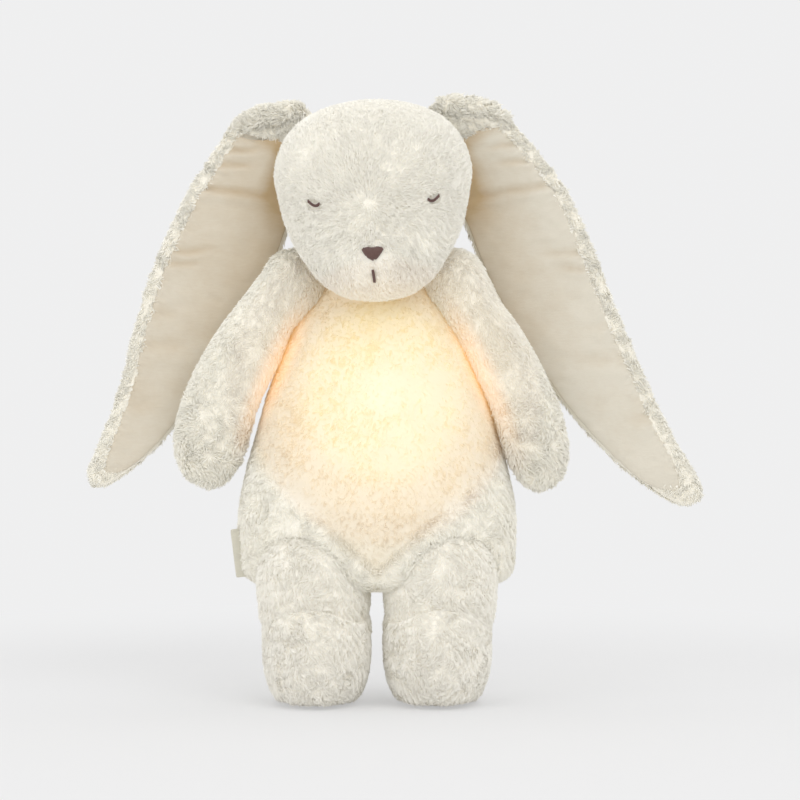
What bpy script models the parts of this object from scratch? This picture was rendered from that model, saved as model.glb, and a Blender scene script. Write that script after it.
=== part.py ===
"""A standing plush rabbit night light.

The torso, head, arms, legs, feet and ears are stuffed forms, each lofted through a few rings.
The limbs and the head turn on round ends that sit in round sockets of the larger form.
A light-and-sound unit sits in a fabric pocket in the belly, behind a flap in the back.
Metres, +Z up, the face towards -Y, the origin on the floor under the middle of the whole toy.
Left and right are the toy's own, so its left is at +X.
"""

import math

import bmesh
import bpy
import numpy as np
from mathutils import Matrix, Vector

SIDES = {"left": 1, "right": -1}

# Clearances
SEAM_GAP = 0.0003  # between pieces that touch
JOINT_GAP = 0.0005  # between a round end and its socket
SWEEP_GAP = 0.0008  # between a turning limb and what it turns past
OVERRUN = 0.03  # how far a cutter runs past what it cuts

# The ears hang unevenly, so the middle of the whole toy lies this far to its left
TOY_SHIFT = 0.0096

# Torso: rows of (height, half width, mid depth, half depth) shares
TORSO_FLOOR = 0.060
TORSO_HEIGHT = 0.177
TORSO_HALF_WIDTH = 0.0735
TORSO_HALF_DEPTH = 0.047
TORSO_SIDES = 28
TORSO_RINGS = 17
torso_shares = [
    (0.000, 0.000, 0.000, 0.000),
    (0.008, 0.680, 0.000, 0.640),
    (0.023, 0.898, 0.000, 0.800),
    (0.057, 0.980, -0.020, 0.894),
    (0.113, 0.997, -0.020, 0.957),
    (0.226, 1.000, -0.020, 1.000),
    (0.339, 0.952, -0.016, 0.995),
    (0.452, 0.884, -0.016, 0.952),
    (0.565, 0.810, -0.005, 0.888),
    (0.678, 0.714, 0.010, 0.798),
    (0.791, 0.612, 0.027, 0.676),
    (0.870, 0.530, 0.043, 0.574),
    (0.938, 0.408, 0.064, 0.468),
    (0.983, 0.218, 0.040, 0.277),
    (1.000, 0.000, 0.030, 0.000),
]

# Neck ball, on which the head tilts, let into the torso's top
NECK_DROP = 0.007
NECK_HEIGHT = TORSO_FLOOR + TORSO_HEIGHT - NECK_DROP
NECK_RADIUS = 0.022
NECK_SIDES = 20

# Head, in its own frame at the neck's centre
HEAD_LEAN = math.radians(2.4)
HEAD_TILT = math.radians(6.0)
HEAD_CHIN_DROP = 0.0155
HEAD_HEIGHT = 0.1055
HEAD_HALF_WIDTH = 0.052
HEAD_HALF_DEPTH = 0.0475
HEAD_SIDES = 24
HEAD_RINGS = 17
head_shares = [
    (0.000, 0.000, -0.830, 0.000),
    (0.024, 0.308, -0.830, 0.215),
    (0.071, 0.481, -0.837, 0.315),
    (0.128, 0.606, -0.821, 0.400),
    (0.204, 0.712, -0.758, 0.505),
    (0.299, 0.828, -0.558, 0.705),
    (0.393, 0.905, -0.385, 0.875),
    (0.507, 0.962, -0.237, 0.985),
    (0.630, 1.000, -0.158, 1.015),
    (0.735, 0.962, -0.126, 0.960),
    (0.829, 0.865, -0.105, 0.830),
    (0.915, 0.683, -0.095, 0.625),
    (0.976, 0.385, -0.095, 0.345),
    (1.000, 0.000, -0.095, 0.000),
]
MUZZLE_RISE = 0.006
MUZZLE_HEIGHT = 0.010
MUZZLE_HALF_WIDTH = 0.023
MUZZLE_HALF_HEIGHT = 0.017

# Embroidered face, in the head's frame
EMBROIDERY = 0.0009
FACE_BACK_share = 0.85
FACE_SHIFT = -0.0015
NOSE_HEIGHT = 0.0097
NOSE_HALF_WIDTH = 0.0053
NOSE_HALF_HEIGHT = 0.0037
NOSE_POINTS = 20
nose_shares = [
    (0.00, 0.84), (0.55, 0.96), (0.92, 0.90), (1.00, 0.48), (0.78, -0.12), (0.42, -0.72),
    (0.00, -1.00), (-0.42, -0.72), (-0.78, -0.12), (-1.00, 0.48), (-0.92, 0.90), (-0.55, 0.96),
]
EYE_OUT = 0.031
EYE_HEIGHT = 0.0365
EYE_HALF_WIDTH = 0.0029
EYE_THREAD = 0.0015
eye_shares = [(-1.00, 0.30), (-0.80, -0.18), (-0.40, -0.44), (0.15, -0.34), (0.62, 0.06), (1.00, 0.58)]
MOUTH_HEIGHT = -0.0024
MOUTH_HALF_HEIGHT = 0.0034
MOUTH_THREAD = 0.0016
mouth_shares = [(-0.10, 1.00), (0.00, 0.40), (0.06, -0.30), (0.10, -1.00)]

# How far the rings of ears and arms crowd towards their ends
LIMB_CROWD_share = 0.7

# Ears, each in its own frame at its root's centre: rows of (along, bow, half width) shares
EAR_ROOT_OUT = 0.0395
EAR_ROOT_HEIGHT = 0.075
EAR_ROOT_BACK = 0.0136
EAR_ROOT_RADIUS = 0.013
EAR_ROOT_HALF_DEPTH = 0.0085
EAR_ROOT_SIDES = 16
EAR_LENGTH = {"left": 0.243, "right": 0.219}
EAR_HANG = math.radians(58.5)
EAR_HALF_WIDTH = 0.0295
EAR_HALF_DEPTH = 0.0042
EAR_FOLD_share = 0.5
EAR_FOLD_END_share = 0.13
EAR_SQUARENESS = 3.2
EAR_SIDES = 12
EAR_RINGS = 17
EAR_OUTER_RIM = 0.0075
EAR_INNER_RIM = 0.0020
LINING_THICKNESS = 0.0022
LINING_SIDES = 12
LINING_RINGS = 13
LINING_START_share = 0.045
LINING_END_share = 0.955
ear_shares = {
    "left": [
        (0.000, -0.012, 0.00), (0.012, -0.020, 0.30), (0.032, -0.026, 0.51), (0.064, -0.039, 0.69),
        (0.100, -0.036, 0.78), (0.143, -0.032, 0.85), (0.190, -0.028, 0.92), (0.243, -0.025, 0.97),
        (0.330, -0.010, 1.00), (0.426, 0.006, 0.97), (0.522, 0.019, 0.90), (0.614, 0.028, 0.83),
        (0.710, 0.033, 0.73), (0.819, 0.031, 0.58), (0.905, 0.019, 0.43), (0.962, 0.007, 0.32),
        (0.990, 0.000, 0.18), (1.000, -0.001, 0.00),
    ],
    "right": [
        (0.000, -0.016, 0.00), (0.012, -0.027, 0.37), (0.031, -0.042, 0.64), (0.065, -0.047, 0.76),
        (0.102, -0.044, 0.81), (0.146, -0.040, 0.87), (0.193, -0.034, 0.93), (0.247, -0.031, 0.98),
        (0.336, -0.021, 1.02), (0.434, -0.013, 1.01), (0.532, -0.005, 0.94), (0.625, 0.002, 0.83),
        (0.723, 0.008, 0.68), (0.834, 0.006, 0.52), (0.920, -0.006, 0.36), (0.965, -0.014, 0.26),
        (0.990, -0.018, 0.15), (1.000, -0.020, 0.00),
    ],
}

# Arms, each in its own frame at its shoulder: rows of (along, bow, half width, half depth) shares
SHOULDER_OUT = {"left": 0.041, "right": 0.044}
SHOULDER_FORWARD = 0.008
SHOULDER_DROP = 0.013
SHOULDER_HEIGHT = TORSO_FLOOR + TORSO_HEIGHT - SHOULDER_DROP
SHOULDER_RADIUS = 0.0165
SHOULDER_SIDES = 20
ARM_LENGTH = {"left": 0.120, "right": 0.1185}
ARM_HANG = {"left": math.radians(66.1), "right": math.radians(66.0)}
ARM_BOW = {"left": 0.0073, "right": 0.0098}
ARM_HALF_WIDTH = {"left": 0.0164, "right": 0.0188}
ARM_HALF_DEPTH = 0.0138
ARM_SIDES = 14
ARM_RINGS = 13
arm_shares = {
    "left": [
        (0.000, 0.00, 0.00, 0.00), (0.010, 0.08, 0.45, 0.62), (0.060, 0.25, 0.78, 1.04),
        (0.184, 0.38, 0.88, 1.03), (0.343, 0.78, 0.96, 1.00), (0.566, 1.00, 0.99, 1.00),
        (0.751, 0.77, 1.00, 1.00), (0.870, 0.40, 0.90, 0.92), (0.955, 0.12, 0.62, 0.64),
        (0.990, 0.02, 0.30, 0.32), (1.000, 0.00, 0.00, 0.00),
    ],
    "right": [
        (0.000, 0.00, 0.00, 0.00), (0.010, 0.08, 0.38, 0.62), (0.060, 0.33, 0.65, 1.04),
        (0.184, 0.60, 0.77, 1.03), (0.343, 0.80, 0.93, 1.00), (0.566, 1.00, 0.99, 1.00),
        (0.751, 0.77, 1.00, 1.00), (0.870, 0.40, 0.90, 0.92), (0.955, 0.12, 0.62, 0.64),
        (0.990, 0.02, 0.30, 0.32), (1.000, 0.00, 0.00, 0.00),
    ],
}

# Legs, each in its own frame at its hip: rows of (height, half width, half depth) shares
HIP_OUT = 0.0335
HIP_FORWARD = 0.016
HIP_HEIGHT = 0.070
HIP_HALF_WIDTH = 0.030
HIP_RADIUS = 0.031
HIP_SIDES = 20
LEG_FOLD = math.radians(50.0)
LEG_FOLD_STEPS = 3
LEG_DROP = 0.032
LEG_HEIGHT = 0.046
LEG_HALF_WIDTH = 0.0295
LEG_HALF_DEPTH = 0.0292
LEG_SIDES = 16
LEG_RINGS = 9
leg_shares = [
    (0.00, 0.00, 0.00),
    (0.03, 0.61, 0.61),
    (0.13, 0.93, 0.93),
    (0.30, 0.99, 0.99),
    (0.52, 1.00, 1.00),
    (0.74, 0.93, 0.95),
    (0.91, 0.68, 0.68),
    (1.00, 0.00, 0.00),
]

# Feet: rows of (height, half width, mid depth, half depth) shares, from the sole's cut up
FOOT_OUT = 0.0320
FOOT_HEIGHT = 0.058
SOLE_CUT = 0.0005
FOOT_HALF_WIDTH = 0.0287
FOOT_HALF_DEPTH = 0.0378
FOOT_SIDES = 18
FOOT_RINGS = 12
foot_shares = [
    (0.000, 0.00, -0.37, 0.00),
    (0.010, 0.53, -0.36, 0.65),
    (0.060, 0.79, -0.37, 0.85),
    (0.181, 0.92, -0.38, 0.95),
    (0.353, 0.99, -0.40, 1.00),
    (0.560, 1.00, -0.42, 1.00),
    (0.767, 0.98, -0.43, 0.93),
    (0.888, 0.84, -0.47, 0.79),
    (0.966, 0.53, -0.50, 0.53),
    (1.000, 0.00, -0.50, 0.00),
]

# Tail and side label
TAIL_RADIUS = 0.015
TAIL_HEIGHT = 0.080
TAIL_STAND_share = 0.62
TAIL_SIDES = 14
LABEL_WIDTH = 0.014
LABEL_HEIGHT = 0.026
LABEL_THICKNESS = 0.0010
LABEL_MIDDLE = 0.0795
LABEL_STAND = 0.0030
LABEL_LEAN = math.radians(7.0)
LABEL_FORWARD = 0.008

# Light-and-sound unit, turned about an axis along Y, its depths given from its back face
UNIT_HEIGHT = 0.150
UNIT_SPACE = 0.0020  # from its top edge to the flap's inner side
UNIT_RADIUS = 0.027
UNIT_DEPTH = 0.050
UNIT_WALL = 0.002
UNIT_SIDES = 28
COVER_THICKNESS = 0.0026
HOUSING_DEPTH = 0.0206
SHELF_THICKNESS = 0.0016
SHELF_SETBACK = 0.0035
SHELF_BORE = 0.012
GASKET_THICKNESS = 0.0010
GASKET_WALL = 0.0016
DOME_SHOULDER_share = 0.36
DOME_STEPS = 5
BOARD_THICKNESS = 0.0016
BOARD_EDGE_GAP = 0.0005
LED_COUNT = 8
LED_RING_RADIUS = 0.014
LED_SIZE = 0.0040
LED_HEIGHT = 0.0012
BOSS_RADIUS = 0.0028
BOSS_RING_RADIUS = 0.0215
BOSS_SIDES = 14
PILOT_RADIUS = 0.0012
PILOT_DEPTH = 0.011
SCREW_SHANK_RADIUS = 0.0008
SCREW_HEAD_RADIUS = 0.0021
SCREW_HEAD_THICKNESS = 0.0011
SCREW_LENGTH = 0.0095
SCREW_SINK = 0.0003
SCREW_SLOT = 0.0006
SCREW_SIDES = 14
BATTERY_WIDTH = 0.029
BATTERY_HEIGHT = 0.021
BATTERY_THICKNESS = 0.0070
BATTERY_EDGE = 0.0015
SPEAKER_RADIUS = 0.0085
SPEAKER_DROP = 0.0125
SPEAKER_CONE_SINK = 0.0018
GRILLE_HOLE_RADIUS = 0.0010
GRILLE_PITCH = 0.0035
GRILLE_HOLE_SIDES = 8
BUTTON_NAMES = ("button_sound", "button_light", "button_volume")
BUTTON_PITCH = 0.0115
BUTTON_RISE = 0.0055
BUTTON_RADIUS = 0.0038
BUTTON_FLANGE_RADIUS = 0.0047
BUTTON_FLANGE_THICKNESS = 0.0009
BUTTON_PROUD = 0.0016
BUTTON_TRAVEL = 0.0010
BUTTON_SIDES = 20
SWITCH_SIZE = 0.0060
SWITCH_HEIGHT = 0.0026
PLUNGER_RADIUS = 0.0016
USB_WIDTH = 0.0090
USB_HEIGHT = 0.0032
USB_WALL = 0.0005
USB_RISE = 0.0175
USB_SINK = 0.0004
USB_FLOOR = 0.0015

# Pocket in the torso
POCKET_PLAY = 0.0005
POCKET_WALL = 0.0012
POCKET_MOUTH_SINK = 0.0020

# Back flap and its fastener
FLAP_RISE = 0.040
FLAP_TOP = UNIT_HEIGHT + FLAP_RISE
FLAP_HALF_WIDTH = 0.033
FLAP_LENGTH = 0.086
FLAP_TOP_CORNER = 0.023
FLAP_FOOT_CORNER = 0.010
FLAP_THICKNESS = 0.0035
FLAP_EDGE_GAP = 0.0006
CORNER_STEPS = 6
TAPE_HALF_WIDTH = 0.020
TAPE_HEIGHT = 0.010
TAPE_LIFT = 0.0025
LOOP_THICKNESS = 0.0008
HOOK_THICKNESS = 0.0009
TAPE_SPACE = LOOP_THICKNESS + HOOK_THICKNESS + 3 * SEAM_GAP

# Colours: red, green, blue, roughness, metallic
PLUSH_CREAM = (0.86, 0.84, 0.78, 0.95, 0.0)
BELLY_CREAM = (0.93, 0.84, 0.70, 0.90, 0.0)
VELVET_BEIGE = (0.72, 0.66, 0.54, 0.85, 0.0)
THREAD_BROWN = (0.11, 0.055, 0.05, 0.70, 0.0)
LABEL_IVORY = (0.80, 0.78, 0.68, 0.80, 0.0)
POCKET_WHITE = (0.80, 0.80, 0.78, 0.90, 0.0)
TAPE_WHITE = (0.75, 0.75, 0.73, 0.95, 0.0)
DIFFUSER_MILK = (0.92, 0.90, 0.84, 0.35, 0.0)
CASE_WHITE = (0.82, 0.82, 0.80, 0.45, 0.0)
GASKET_GREY = (0.30, 0.30, 0.30, 0.80, 0.0)
BOARD_GREEN = (0.03, 0.16, 0.07, 0.50, 0.0)
CELL_SILVER = (0.60, 0.61, 0.63, 0.40, 0.3)
SPEAKER_BLACK = (0.03, 0.03, 0.03, 0.60, 0.0)
BUTTON_GREY = (0.45, 0.47, 0.50, 0.60, 0.0)
STEEL = (0.62, 0.62, 0.62, 0.35, 1.0)


def clear_scene():
    """Remove every object of the start-up scene."""
    for old in list(bpy.data.objects):
        bpy.data.objects.remove(old, do_unlink=True)


def material(name, finish):
    """A Principled material of one colour, roughness and metallic value."""
    made = bpy.data.materials.new(name)
    made.use_nodes = True
    shader = made.node_tree.nodes["Principled BSDF"]
    red, green, blue, roughness, metallic = finish
    shader.inputs["Base Color"].default_value = (red, green, blue, 1.0)
    shader.inputs["Roughness"].default_value = roughness
    shader.inputs["Metallic"].default_value = metallic
    made.diffuse_color = (red, green, blue, 1.0)
    return made


def add_object(name, mesh, finish=None):
    """Link a mesh as an object. Without a finish it is a guide, which isn't part of the toy."""
    made = bpy.data.objects.new(name, mesh)
    bpy.context.scene.collection.objects.link(made)
    if finish is None:
        made.hide_render = True
        made.display_type = "WIRE"
    else:
        mesh.materials.append(material(name, finish))
    return made


def mesh_from_bmesh(name, form, smooth=True):
    """Turn a bmesh with outward faces into a mesh, with its edges over 40 degrees sharp."""
    bmesh.ops.recalc_face_normals(form, faces=form.faces)
    mesh = bpy.data.meshes.new(name)
    form.to_mesh(mesh)
    form.free()
    if smooth:
        mesh.shade_smooth()
        mesh.set_sharp_from_angle(angle=math.radians(40))
    return mesh


def pivot(name, place, parent=None, lean=0.0):
    """An empty on a joint's axis, which carries the pieces that move with the joint."""
    axis = bpy.data.objects.new(name, None)
    bpy.context.scene.collection.objects.link(axis)
    axis.location = place
    axis.rotation_euler = (0.0, -lean, 0.0)
    axis.parent = parent
    return axis


def hang(piece, parent, place=(0.0, 0.0, 0.0)):
    """Parent a piece and set its place in its parent's frame."""
    piece.parent = parent
    piece.location = place
    return piece


def cut(body, tool, operation="DIFFERENCE"):
    """Add a Boolean step to a body. The tool becomes a guide."""
    step = body.modifiers.new(tool.name, "BOOLEAN")
    step.operation = operation
    step.object = tool
    step.solver = "EXACT"
    tool.hide_render = True
    tool.display_type = "WIRE"


# Stuffed forms

def smooth_rows(rows, count, crowd_share=0.0):
    """Read rows off a smooth curve through the given rows, crowded towards the ends by a share.

    A row is (x, z, half width, y, half depth). The first and last are poles of no width, and
    the curve runs on past each as its own mirror image, so that the ends are round.
    """
    rows = np.array(rows, dtype=float)
    flip = np.array([1.0, 1.0, -1.0, 1.0, -1.0])
    padded = np.vstack([rows[1] * flip, rows, rows[-2] * flip])
    steps = np.linalg.norm(np.diff(padded, axis=0), axis=1)
    knots = np.concatenate([[0.0], np.cumsum(steps)])
    slopes = (padded[2:] - padded[:-2]) / (knots[2:] - knots[:-2])[:, None]
    knots = knots[1:-1]
    even = np.linspace(0.0, 1.0, count)
    spaced = even + crowd_share * (0.5 - 0.5 * np.cos(math.pi * even) - even)
    at = knots[0] + (knots[-1] - knots[0]) * spaced
    low = np.clip(np.searchsorted(knots, at, side="right") - 1, 0, len(knots) - 2)
    span = (knots[low + 1] - knots[low])[:, None]
    t = (at - knots[low])[:, None] / span
    start = (2 * t**3 - 3 * t**2 + 1) * rows[low] + (t**3 - 2 * t**2 + t) * span * slopes[low]
    end = (3 * t**2 - 2 * t**3) * rows[low + 1] + (t**3 - t**2) * span * slopes[low + 1]
    smooth = start + end
    smooth[0] = rows[0]
    smooth[-1] = rows[-1]
    return smooth


def spine_direction(rows):
    """The unit direction of the rows' spine in the XZ plane."""
    step = np.gradient(rows[:, :2], axis=0)
    step[0] = rows[1, :2] - rows[0, :2]
    step[-1] = rows[-1, :2] - rows[-2, :2]
    return step / np.linalg.norm(step, axis=1)[:, None]


def grown_rows(rows, grow):
    """Move the outline of smooth rows outwards by a distance, square to their profile."""
    along = spine_direction(rows)
    change = np.gradient(rows, axis=0)
    run = np.linalg.norm(change[:, :2], axis=1)
    run[0] = 0.0
    run[-1] = 0.0
    rise = change[:, 2]
    slant = np.hypot(run, rise)
    grown = rows.copy()
    grown[:, :2] -= along * (grow * rise / slant)[:, None]
    grown[:, 2] += grow * run / slant
    grown[:, 4] += grow * run / slant
    return grown


def form_mesh(name, rows, sides, squareness=2.0, sculpt=None):
    """Skin smooth rows with rings of a superellipse, with a pole at each end."""
    along = spine_direction(rows)
    across = np.stack([along[:, 1], -along[:, 0]], axis=1)
    angle = np.linspace(0.0, 2.0 * math.pi, sides, endpoint=False)
    power = 2.0 / squareness
    side = np.sign(np.cos(angle)) * np.abs(np.cos(angle)) ** power
    depth = np.sign(np.sin(angle)) * np.abs(np.sin(angle)) ** power
    ring = rows[1:-1]
    x = ring[:, 0:1] + across[1:-1, 0:1] * ring[:, 2:3] * side
    z = ring[:, 1:2] + across[1:-1, 1:2] * ring[:, 2:3] * side
    y = ring[:, 3:4] + ring[:, 4:5] * depth
    points = np.stack([x, y, z], axis=2).reshape(-1, 3)
    poles = rows[[0, -1]][:, [0, 3, 1]]
    points = np.vstack([points, poles])
    if sculpt is not None:
        points = sculpt(points)
    count = len(ring)
    faces = []
    for i in range(count - 1):
        for j in range(sides):
            k = (j + 1) % sides
            faces.append((i * sides + j, i * sides + k, (i + 1) * sides + k, (i + 1) * sides + j))
    first, last = count * sides, count * sides + 1
    for j in range(sides):
        k = (j + 1) % sides
        faces.append((first, k, j))
        faces.append((last, (count - 1) * sides + j, (count - 1) * sides + k))
    form = bmesh.new()
    corners = [form.verts.new(p) for p in points]
    for face in faces:
        form.faces.new([corners[i] for i in face])
    return mesh_from_bmesh(name, form)


def torso_rows(grow=0.0):
    """The torso's smooth rows, grown by a distance."""
    rows = [
        (0.0, TORSO_FLOOR + h * TORSO_HEIGHT, w * TORSO_HALF_WIDTH,
         m * TORSO_HALF_DEPTH, d * TORSO_HALF_DEPTH)
        for h, w, m, d in torso_shares
    ]
    return grown_rows(smooth_rows(rows, TORSO_RINGS), grow)


def torso_back(height):
    """How far back the torso's outline reaches at a height."""
    rows = torso_rows()
    return float(np.interp(height, rows[:, 1], rows[:, 3] + rows[:, 4]))


def torso_side(height):
    """The torso's half width at a height."""
    rows = torso_rows()
    return float(np.interp(height, rows[:, 1], rows[:, 2]))


def torso_guide(name, grow):
    """A guide of the torso's form, grown by a distance."""
    return add_object(name, form_mesh(name, torso_rows(grow), TORSO_SIDES))


def head_rows(grow=0.0):
    """The head's smooth rows in its own frame, grown by a distance."""
    rows = [
        (0.0, h * HEAD_HEIGHT - HEAD_CHIN_DROP, w * HEAD_HALF_WIDTH,
         m * HEAD_HALF_DEPTH, d * HEAD_HALF_DEPTH)
        for h, w, m, d in head_shares
    ]
    return grown_rows(smooth_rows(rows, HEAD_RINGS), grow)


def with_muzzle(points):
    """Push the front of the head forward round the nose by a bell-shaped amount."""
    out = points.copy()
    far = (points[:, 0] / MUZZLE_HALF_WIDTH) ** 2
    far += ((points[:, 2] - MUZZLE_HEIGHT) / MUZZLE_HALF_HEIGHT) ** 2
    front = np.clip(-points[:, 1] / HEAD_HALF_DEPTH, 0.0, 1.0)
    out[:, 1] -= MUZZLE_RISE * np.exp(-far) * front
    return out


def head_mesh(name, grow=0.0):
    """The head's form with its muzzle."""
    return form_mesh(name, head_rows(grow), HEAD_SIDES, sculpt=with_muzzle)


def ball_mesh(name, half_x, half_y, half_z, axis, sides):
    """An ellipsoid whose poles lie on an axis, X or Y, so that its rings turn about it."""
    form = bmesh.new()
    bmesh.ops.create_uvsphere(form, u_segments=sides, v_segments=sides // 2, radius=1.0)
    turn = Matrix.Rotation(math.pi / 2, 4, "Y" if axis == "X" else "X")
    size = Matrix.Diagonal((half_x, half_y, half_z, 1.0))
    bmesh.ops.transform(form, matrix=size @ turn, verts=form.verts)
    return mesh_from_bmesh(name, form)


def ball(name, radius, axis, sides, place, parent=None, finish=None, half_along=None):
    """A ball, or with half_along an ellipsoid of revolution, about X or Y through its place."""
    along = radius if half_along is None else half_along
    half = (along, radius, radius) if axis == "X" else (radius, along, radius)
    made = add_object(name, ball_mesh(name, *half, axis, sides), finish)
    return hang(made, parent, place)


# Turned and extruded shapes

def turned_mesh(name, profile, sides):
    """Turn a closed profile of (radius, y) points about the Y axis."""
    form = bmesh.new()
    corners = [form.verts.new((radius, y, 0.0)) for radius, y in profile]
    edges = [form.edges.new((a, b)) for a, b in zip(corners, corners[1:] + corners[:1])]
    bmesh.ops.spin(
        form, geom=corners + edges, cent=(0.0, 0.0, 0.0), axis=(0.0, 1.0, 0.0),
        angle=2.0 * math.pi, steps=sides, use_merge=True, use_duplicate=False,
    )
    bmesh.ops.remove_doubles(form, verts=form.verts, dist=UNIT_RADIUS * 1e-5)
    return mesh_from_bmesh(name, form)


def turned(name, profile, sides, place, finish=None, parent=None):
    """A turned shape whose axis runs along Y through its place."""
    made = add_object(name, turned_mesh(name, profile, sides), finish)
    return hang(made, parent, place)


def rod(name, radius, y_from, y_to, sides, place, finish=None, parent=None):
    """A round rod along Y."""
    profile = [(0.0, y_from), (radius, y_from), (radius, y_to), (0.0, y_to)]
    return turned(name, profile, sides, place, finish, parent)


def prism_mesh(name, outline, y_from, y_to):
    """Extrude an outline of (x, z) points along Y."""
    form = bmesh.new()
    face = form.faces.new([form.verts.new((x, y_from, z)) for x, z in outline])
    pushed = bmesh.ops.extrude_face_region(form, geom=[face])
    moved = [v for v in pushed["geom"] if isinstance(v, bmesh.types.BMVert)]
    bmesh.ops.translate(form, verts=moved, vec=(0.0, y_to - y_from, 0.0))
    return mesh_from_bmesh(name, form)


def prism(name, outline, y_from, y_to, finish=None, parent=None, place=(0.0, 0.0, 0.0)):
    """An outline of (x, z) points, extruded along Y."""
    made = add_object(name, prism_mesh(name, outline, y_from, y_to), finish)
    return hang(made, parent, place)


def box_outline(width, height, x=0.0, z=0.0):
    """The corners of an upright rectangle round a middle point."""
    half, tall = width / 2, height / 2
    return [(x - half, z - tall), (x + half, z - tall), (x + half, z + tall), (x - half, z + tall)]


def rounded_outline(half_width, top, foot, top_corner, foot_corner):
    """A rectangle from foot to top with round corners, CORNER_STEPS edges to each."""
    corners = [
        (half_width - foot_corner, foot + foot_corner, foot_corner, -0.5 * math.pi),
        (half_width - top_corner, top - top_corner, top_corner, 0.0),
        (top_corner - half_width, top - top_corner, top_corner, 0.5 * math.pi),
        (foot_corner - half_width, foot + foot_corner, foot_corner, math.pi),
    ]
    outline = []
    for x, z, radius, start in corners:
        for i in range(CORNER_STEPS + 1):
            angle = start + 0.5 * math.pi * i / CORNER_STEPS
            outline.append((x + radius * math.cos(angle), z + radius * math.sin(angle)))
    return outline


def closed_curve(points, count):
    """Points on a smooth closed curve through a few points."""
    points = np.array(points, dtype=float)
    at = np.linspace(0.0, len(points), count, endpoint=False)
    low = at.astype(int)
    t = (at - low)[:, None]
    a, b, c, d = (points[(low + i) % len(points)] for i in (-1, 0, 1, 2))
    curve = 2 * b + (c - a) * t + (2 * a - 5 * b + 4 * c - d) * t**2 + (3 * b - a - 3 * c + d) * t**3
    return [tuple(p) for p in curve / 2]


def stroke_outline(points, width):
    """The outline of a thread of some width along a line, with blunt round ends."""
    points = np.array(points, dtype=float)
    along = np.gradient(points, axis=0)
    along /= np.linalg.norm(along, axis=1)[:, None]
    side = np.stack([-along[:, 1], along[:, 0]], axis=1) * width / 2
    cap = width / 3
    lead = points[0] - along[0] * cap
    tail = points[-1] + along[-1] * cap
    left = [tuple(p) for p in points + side]
    right = [tuple(p) for p in (points - side)[::-1]]
    start = [tuple(lead - side[0] / 2), tuple(lead + side[0] / 2)]
    end = [tuple(tail + side[-1] / 2), tuple(tail - side[-1] / 2)]
    return start + left + end + right


# Body

def flap_outline(grow=0.0):
    """The back flap's outline in X and Z, grown by a distance."""
    return rounded_outline(
        FLAP_HALF_WIDTH + grow, FLAP_TOP + grow, FLAP_TOP - FLAP_LENGTH - grow,
        FLAP_TOP_CORNER + grow, FLAP_FOOT_CORNER + grow,
    )


def bore_radius():
    """The radius of the torso's bore, round the pocket and the unit in it."""
    return UNIT_RADIUS + POCKET_PLAY + POCKET_WALL + SEAM_GAP


def unit_back():
    """Where the unit's back face lies, so that its top edge stays under the flap."""
    return torso_back(UNIT_HEIGHT + UNIT_RADIUS) - FLAP_THICKNESS - UNIT_SPACE


def pocket_floor():
    """Where the closed front end of the light pocket lies."""
    return unit_back() - UNIT_DEPTH - POCKET_PLAY - POCKET_WALL


def shoulder_place(side):
    """The middle of a shoulder."""
    return (SIDES[side] * SHOULDER_OUT[side], -SHOULDER_FORWARD, SHOULDER_HEIGHT)


def hip_place(sign):
    """The middle of a hip."""
    return (sign * HIP_OUT, -HIP_FORWARD, HIP_HEIGHT)


def make_torso():
    """The torso with its neck ball, cut for the limbs, the light pocket and the back flap."""
    torso = add_object("torso", form_mesh("torso", torso_rows(), TORSO_SIDES), BELLY_CREAM)
    neck = (0.0, 0.0, NECK_HEIGHT)
    cut(torso, ball("neck_ball", NECK_RADIUS, "Y", NECK_SIDES, neck), "UNION")
    for side, sign in SIDES.items():
        cut(torso, ball("shoulder_socket_" + side, SHOULDER_RADIUS + JOINT_GAP, "Y",
                        SHOULDER_SIDES, shoulder_place(side)))
        cut(torso, ball("hip_socket_" + side, HIP_RADIUS + JOINT_GAP, "X", HIP_SIDES,
                        hip_place(sign), half_along=HIP_HALF_WIDTH + JOINT_GAP))
    recess = prism("flap_recess", flap_outline(FLAP_EDGE_GAP), 0.0, TORSO_HALF_DEPTH + OVERRUN)
    cut(recess, torso_guide("recess_floor", -FLAP_THICKNESS - TAPE_SPACE))
    cut(torso, recess)
    cut(torso, rod("pocket_bore", bore_radius(), pocket_floor() - SEAM_GAP,
                   TORSO_HALF_DEPTH + OVERRUN, UNIT_SIDES, (0.0, 0.0, UNIT_HEIGHT)))


def shell_patch(name, outline, outer, inner, finish, parent=None, place=(0.0, 0.0, 0.0)):
    """A patch of the torso's back between two depths under its surface."""
    local = [(x - place[0], z - place[2]) for x, z in outline]
    patch = prism(name, local, -place[1], TORSO_HALF_DEPTH + OVERRUN, finish, parent)
    cut(patch, torso_guide(name + "_outside", -outer), "INTERSECT")
    cut(patch, torso_guide(name + "_inside", -inner))
    return patch


def make_back_flap():
    """The flap with the loop tape on it, and the hook tape on the ledge under it."""
    place = (0.0, torso_back(FLAP_TOP), FLAP_TOP)
    hinge = pivot("back_flap_hinge", place)
    shell_patch("back_flap", flap_outline(), 0.0, FLAP_THICKNESS, PLUSH_CREAM, hinge, place)
    tape_low = FLAP_TOP - FLAP_LENGTH + TAPE_LIFT
    tape = box_outline(2 * TAPE_HALF_WIDTH, TAPE_HEIGHT, 0.0, tape_low + TAPE_HEIGHT / 2)
    loop_depth = FLAP_THICKNESS + SEAM_GAP
    hook_depth = loop_depth + LOOP_THICKNESS + SEAM_GAP
    shell_patch("loop_tape", tape, loop_depth, loop_depth + LOOP_THICKNESS, TAPE_WHITE, hinge, place)
    shell_patch("hook_tape", tape, hook_depth, hook_depth + HOOK_THICKNESS, TAPE_WHITE)


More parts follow.
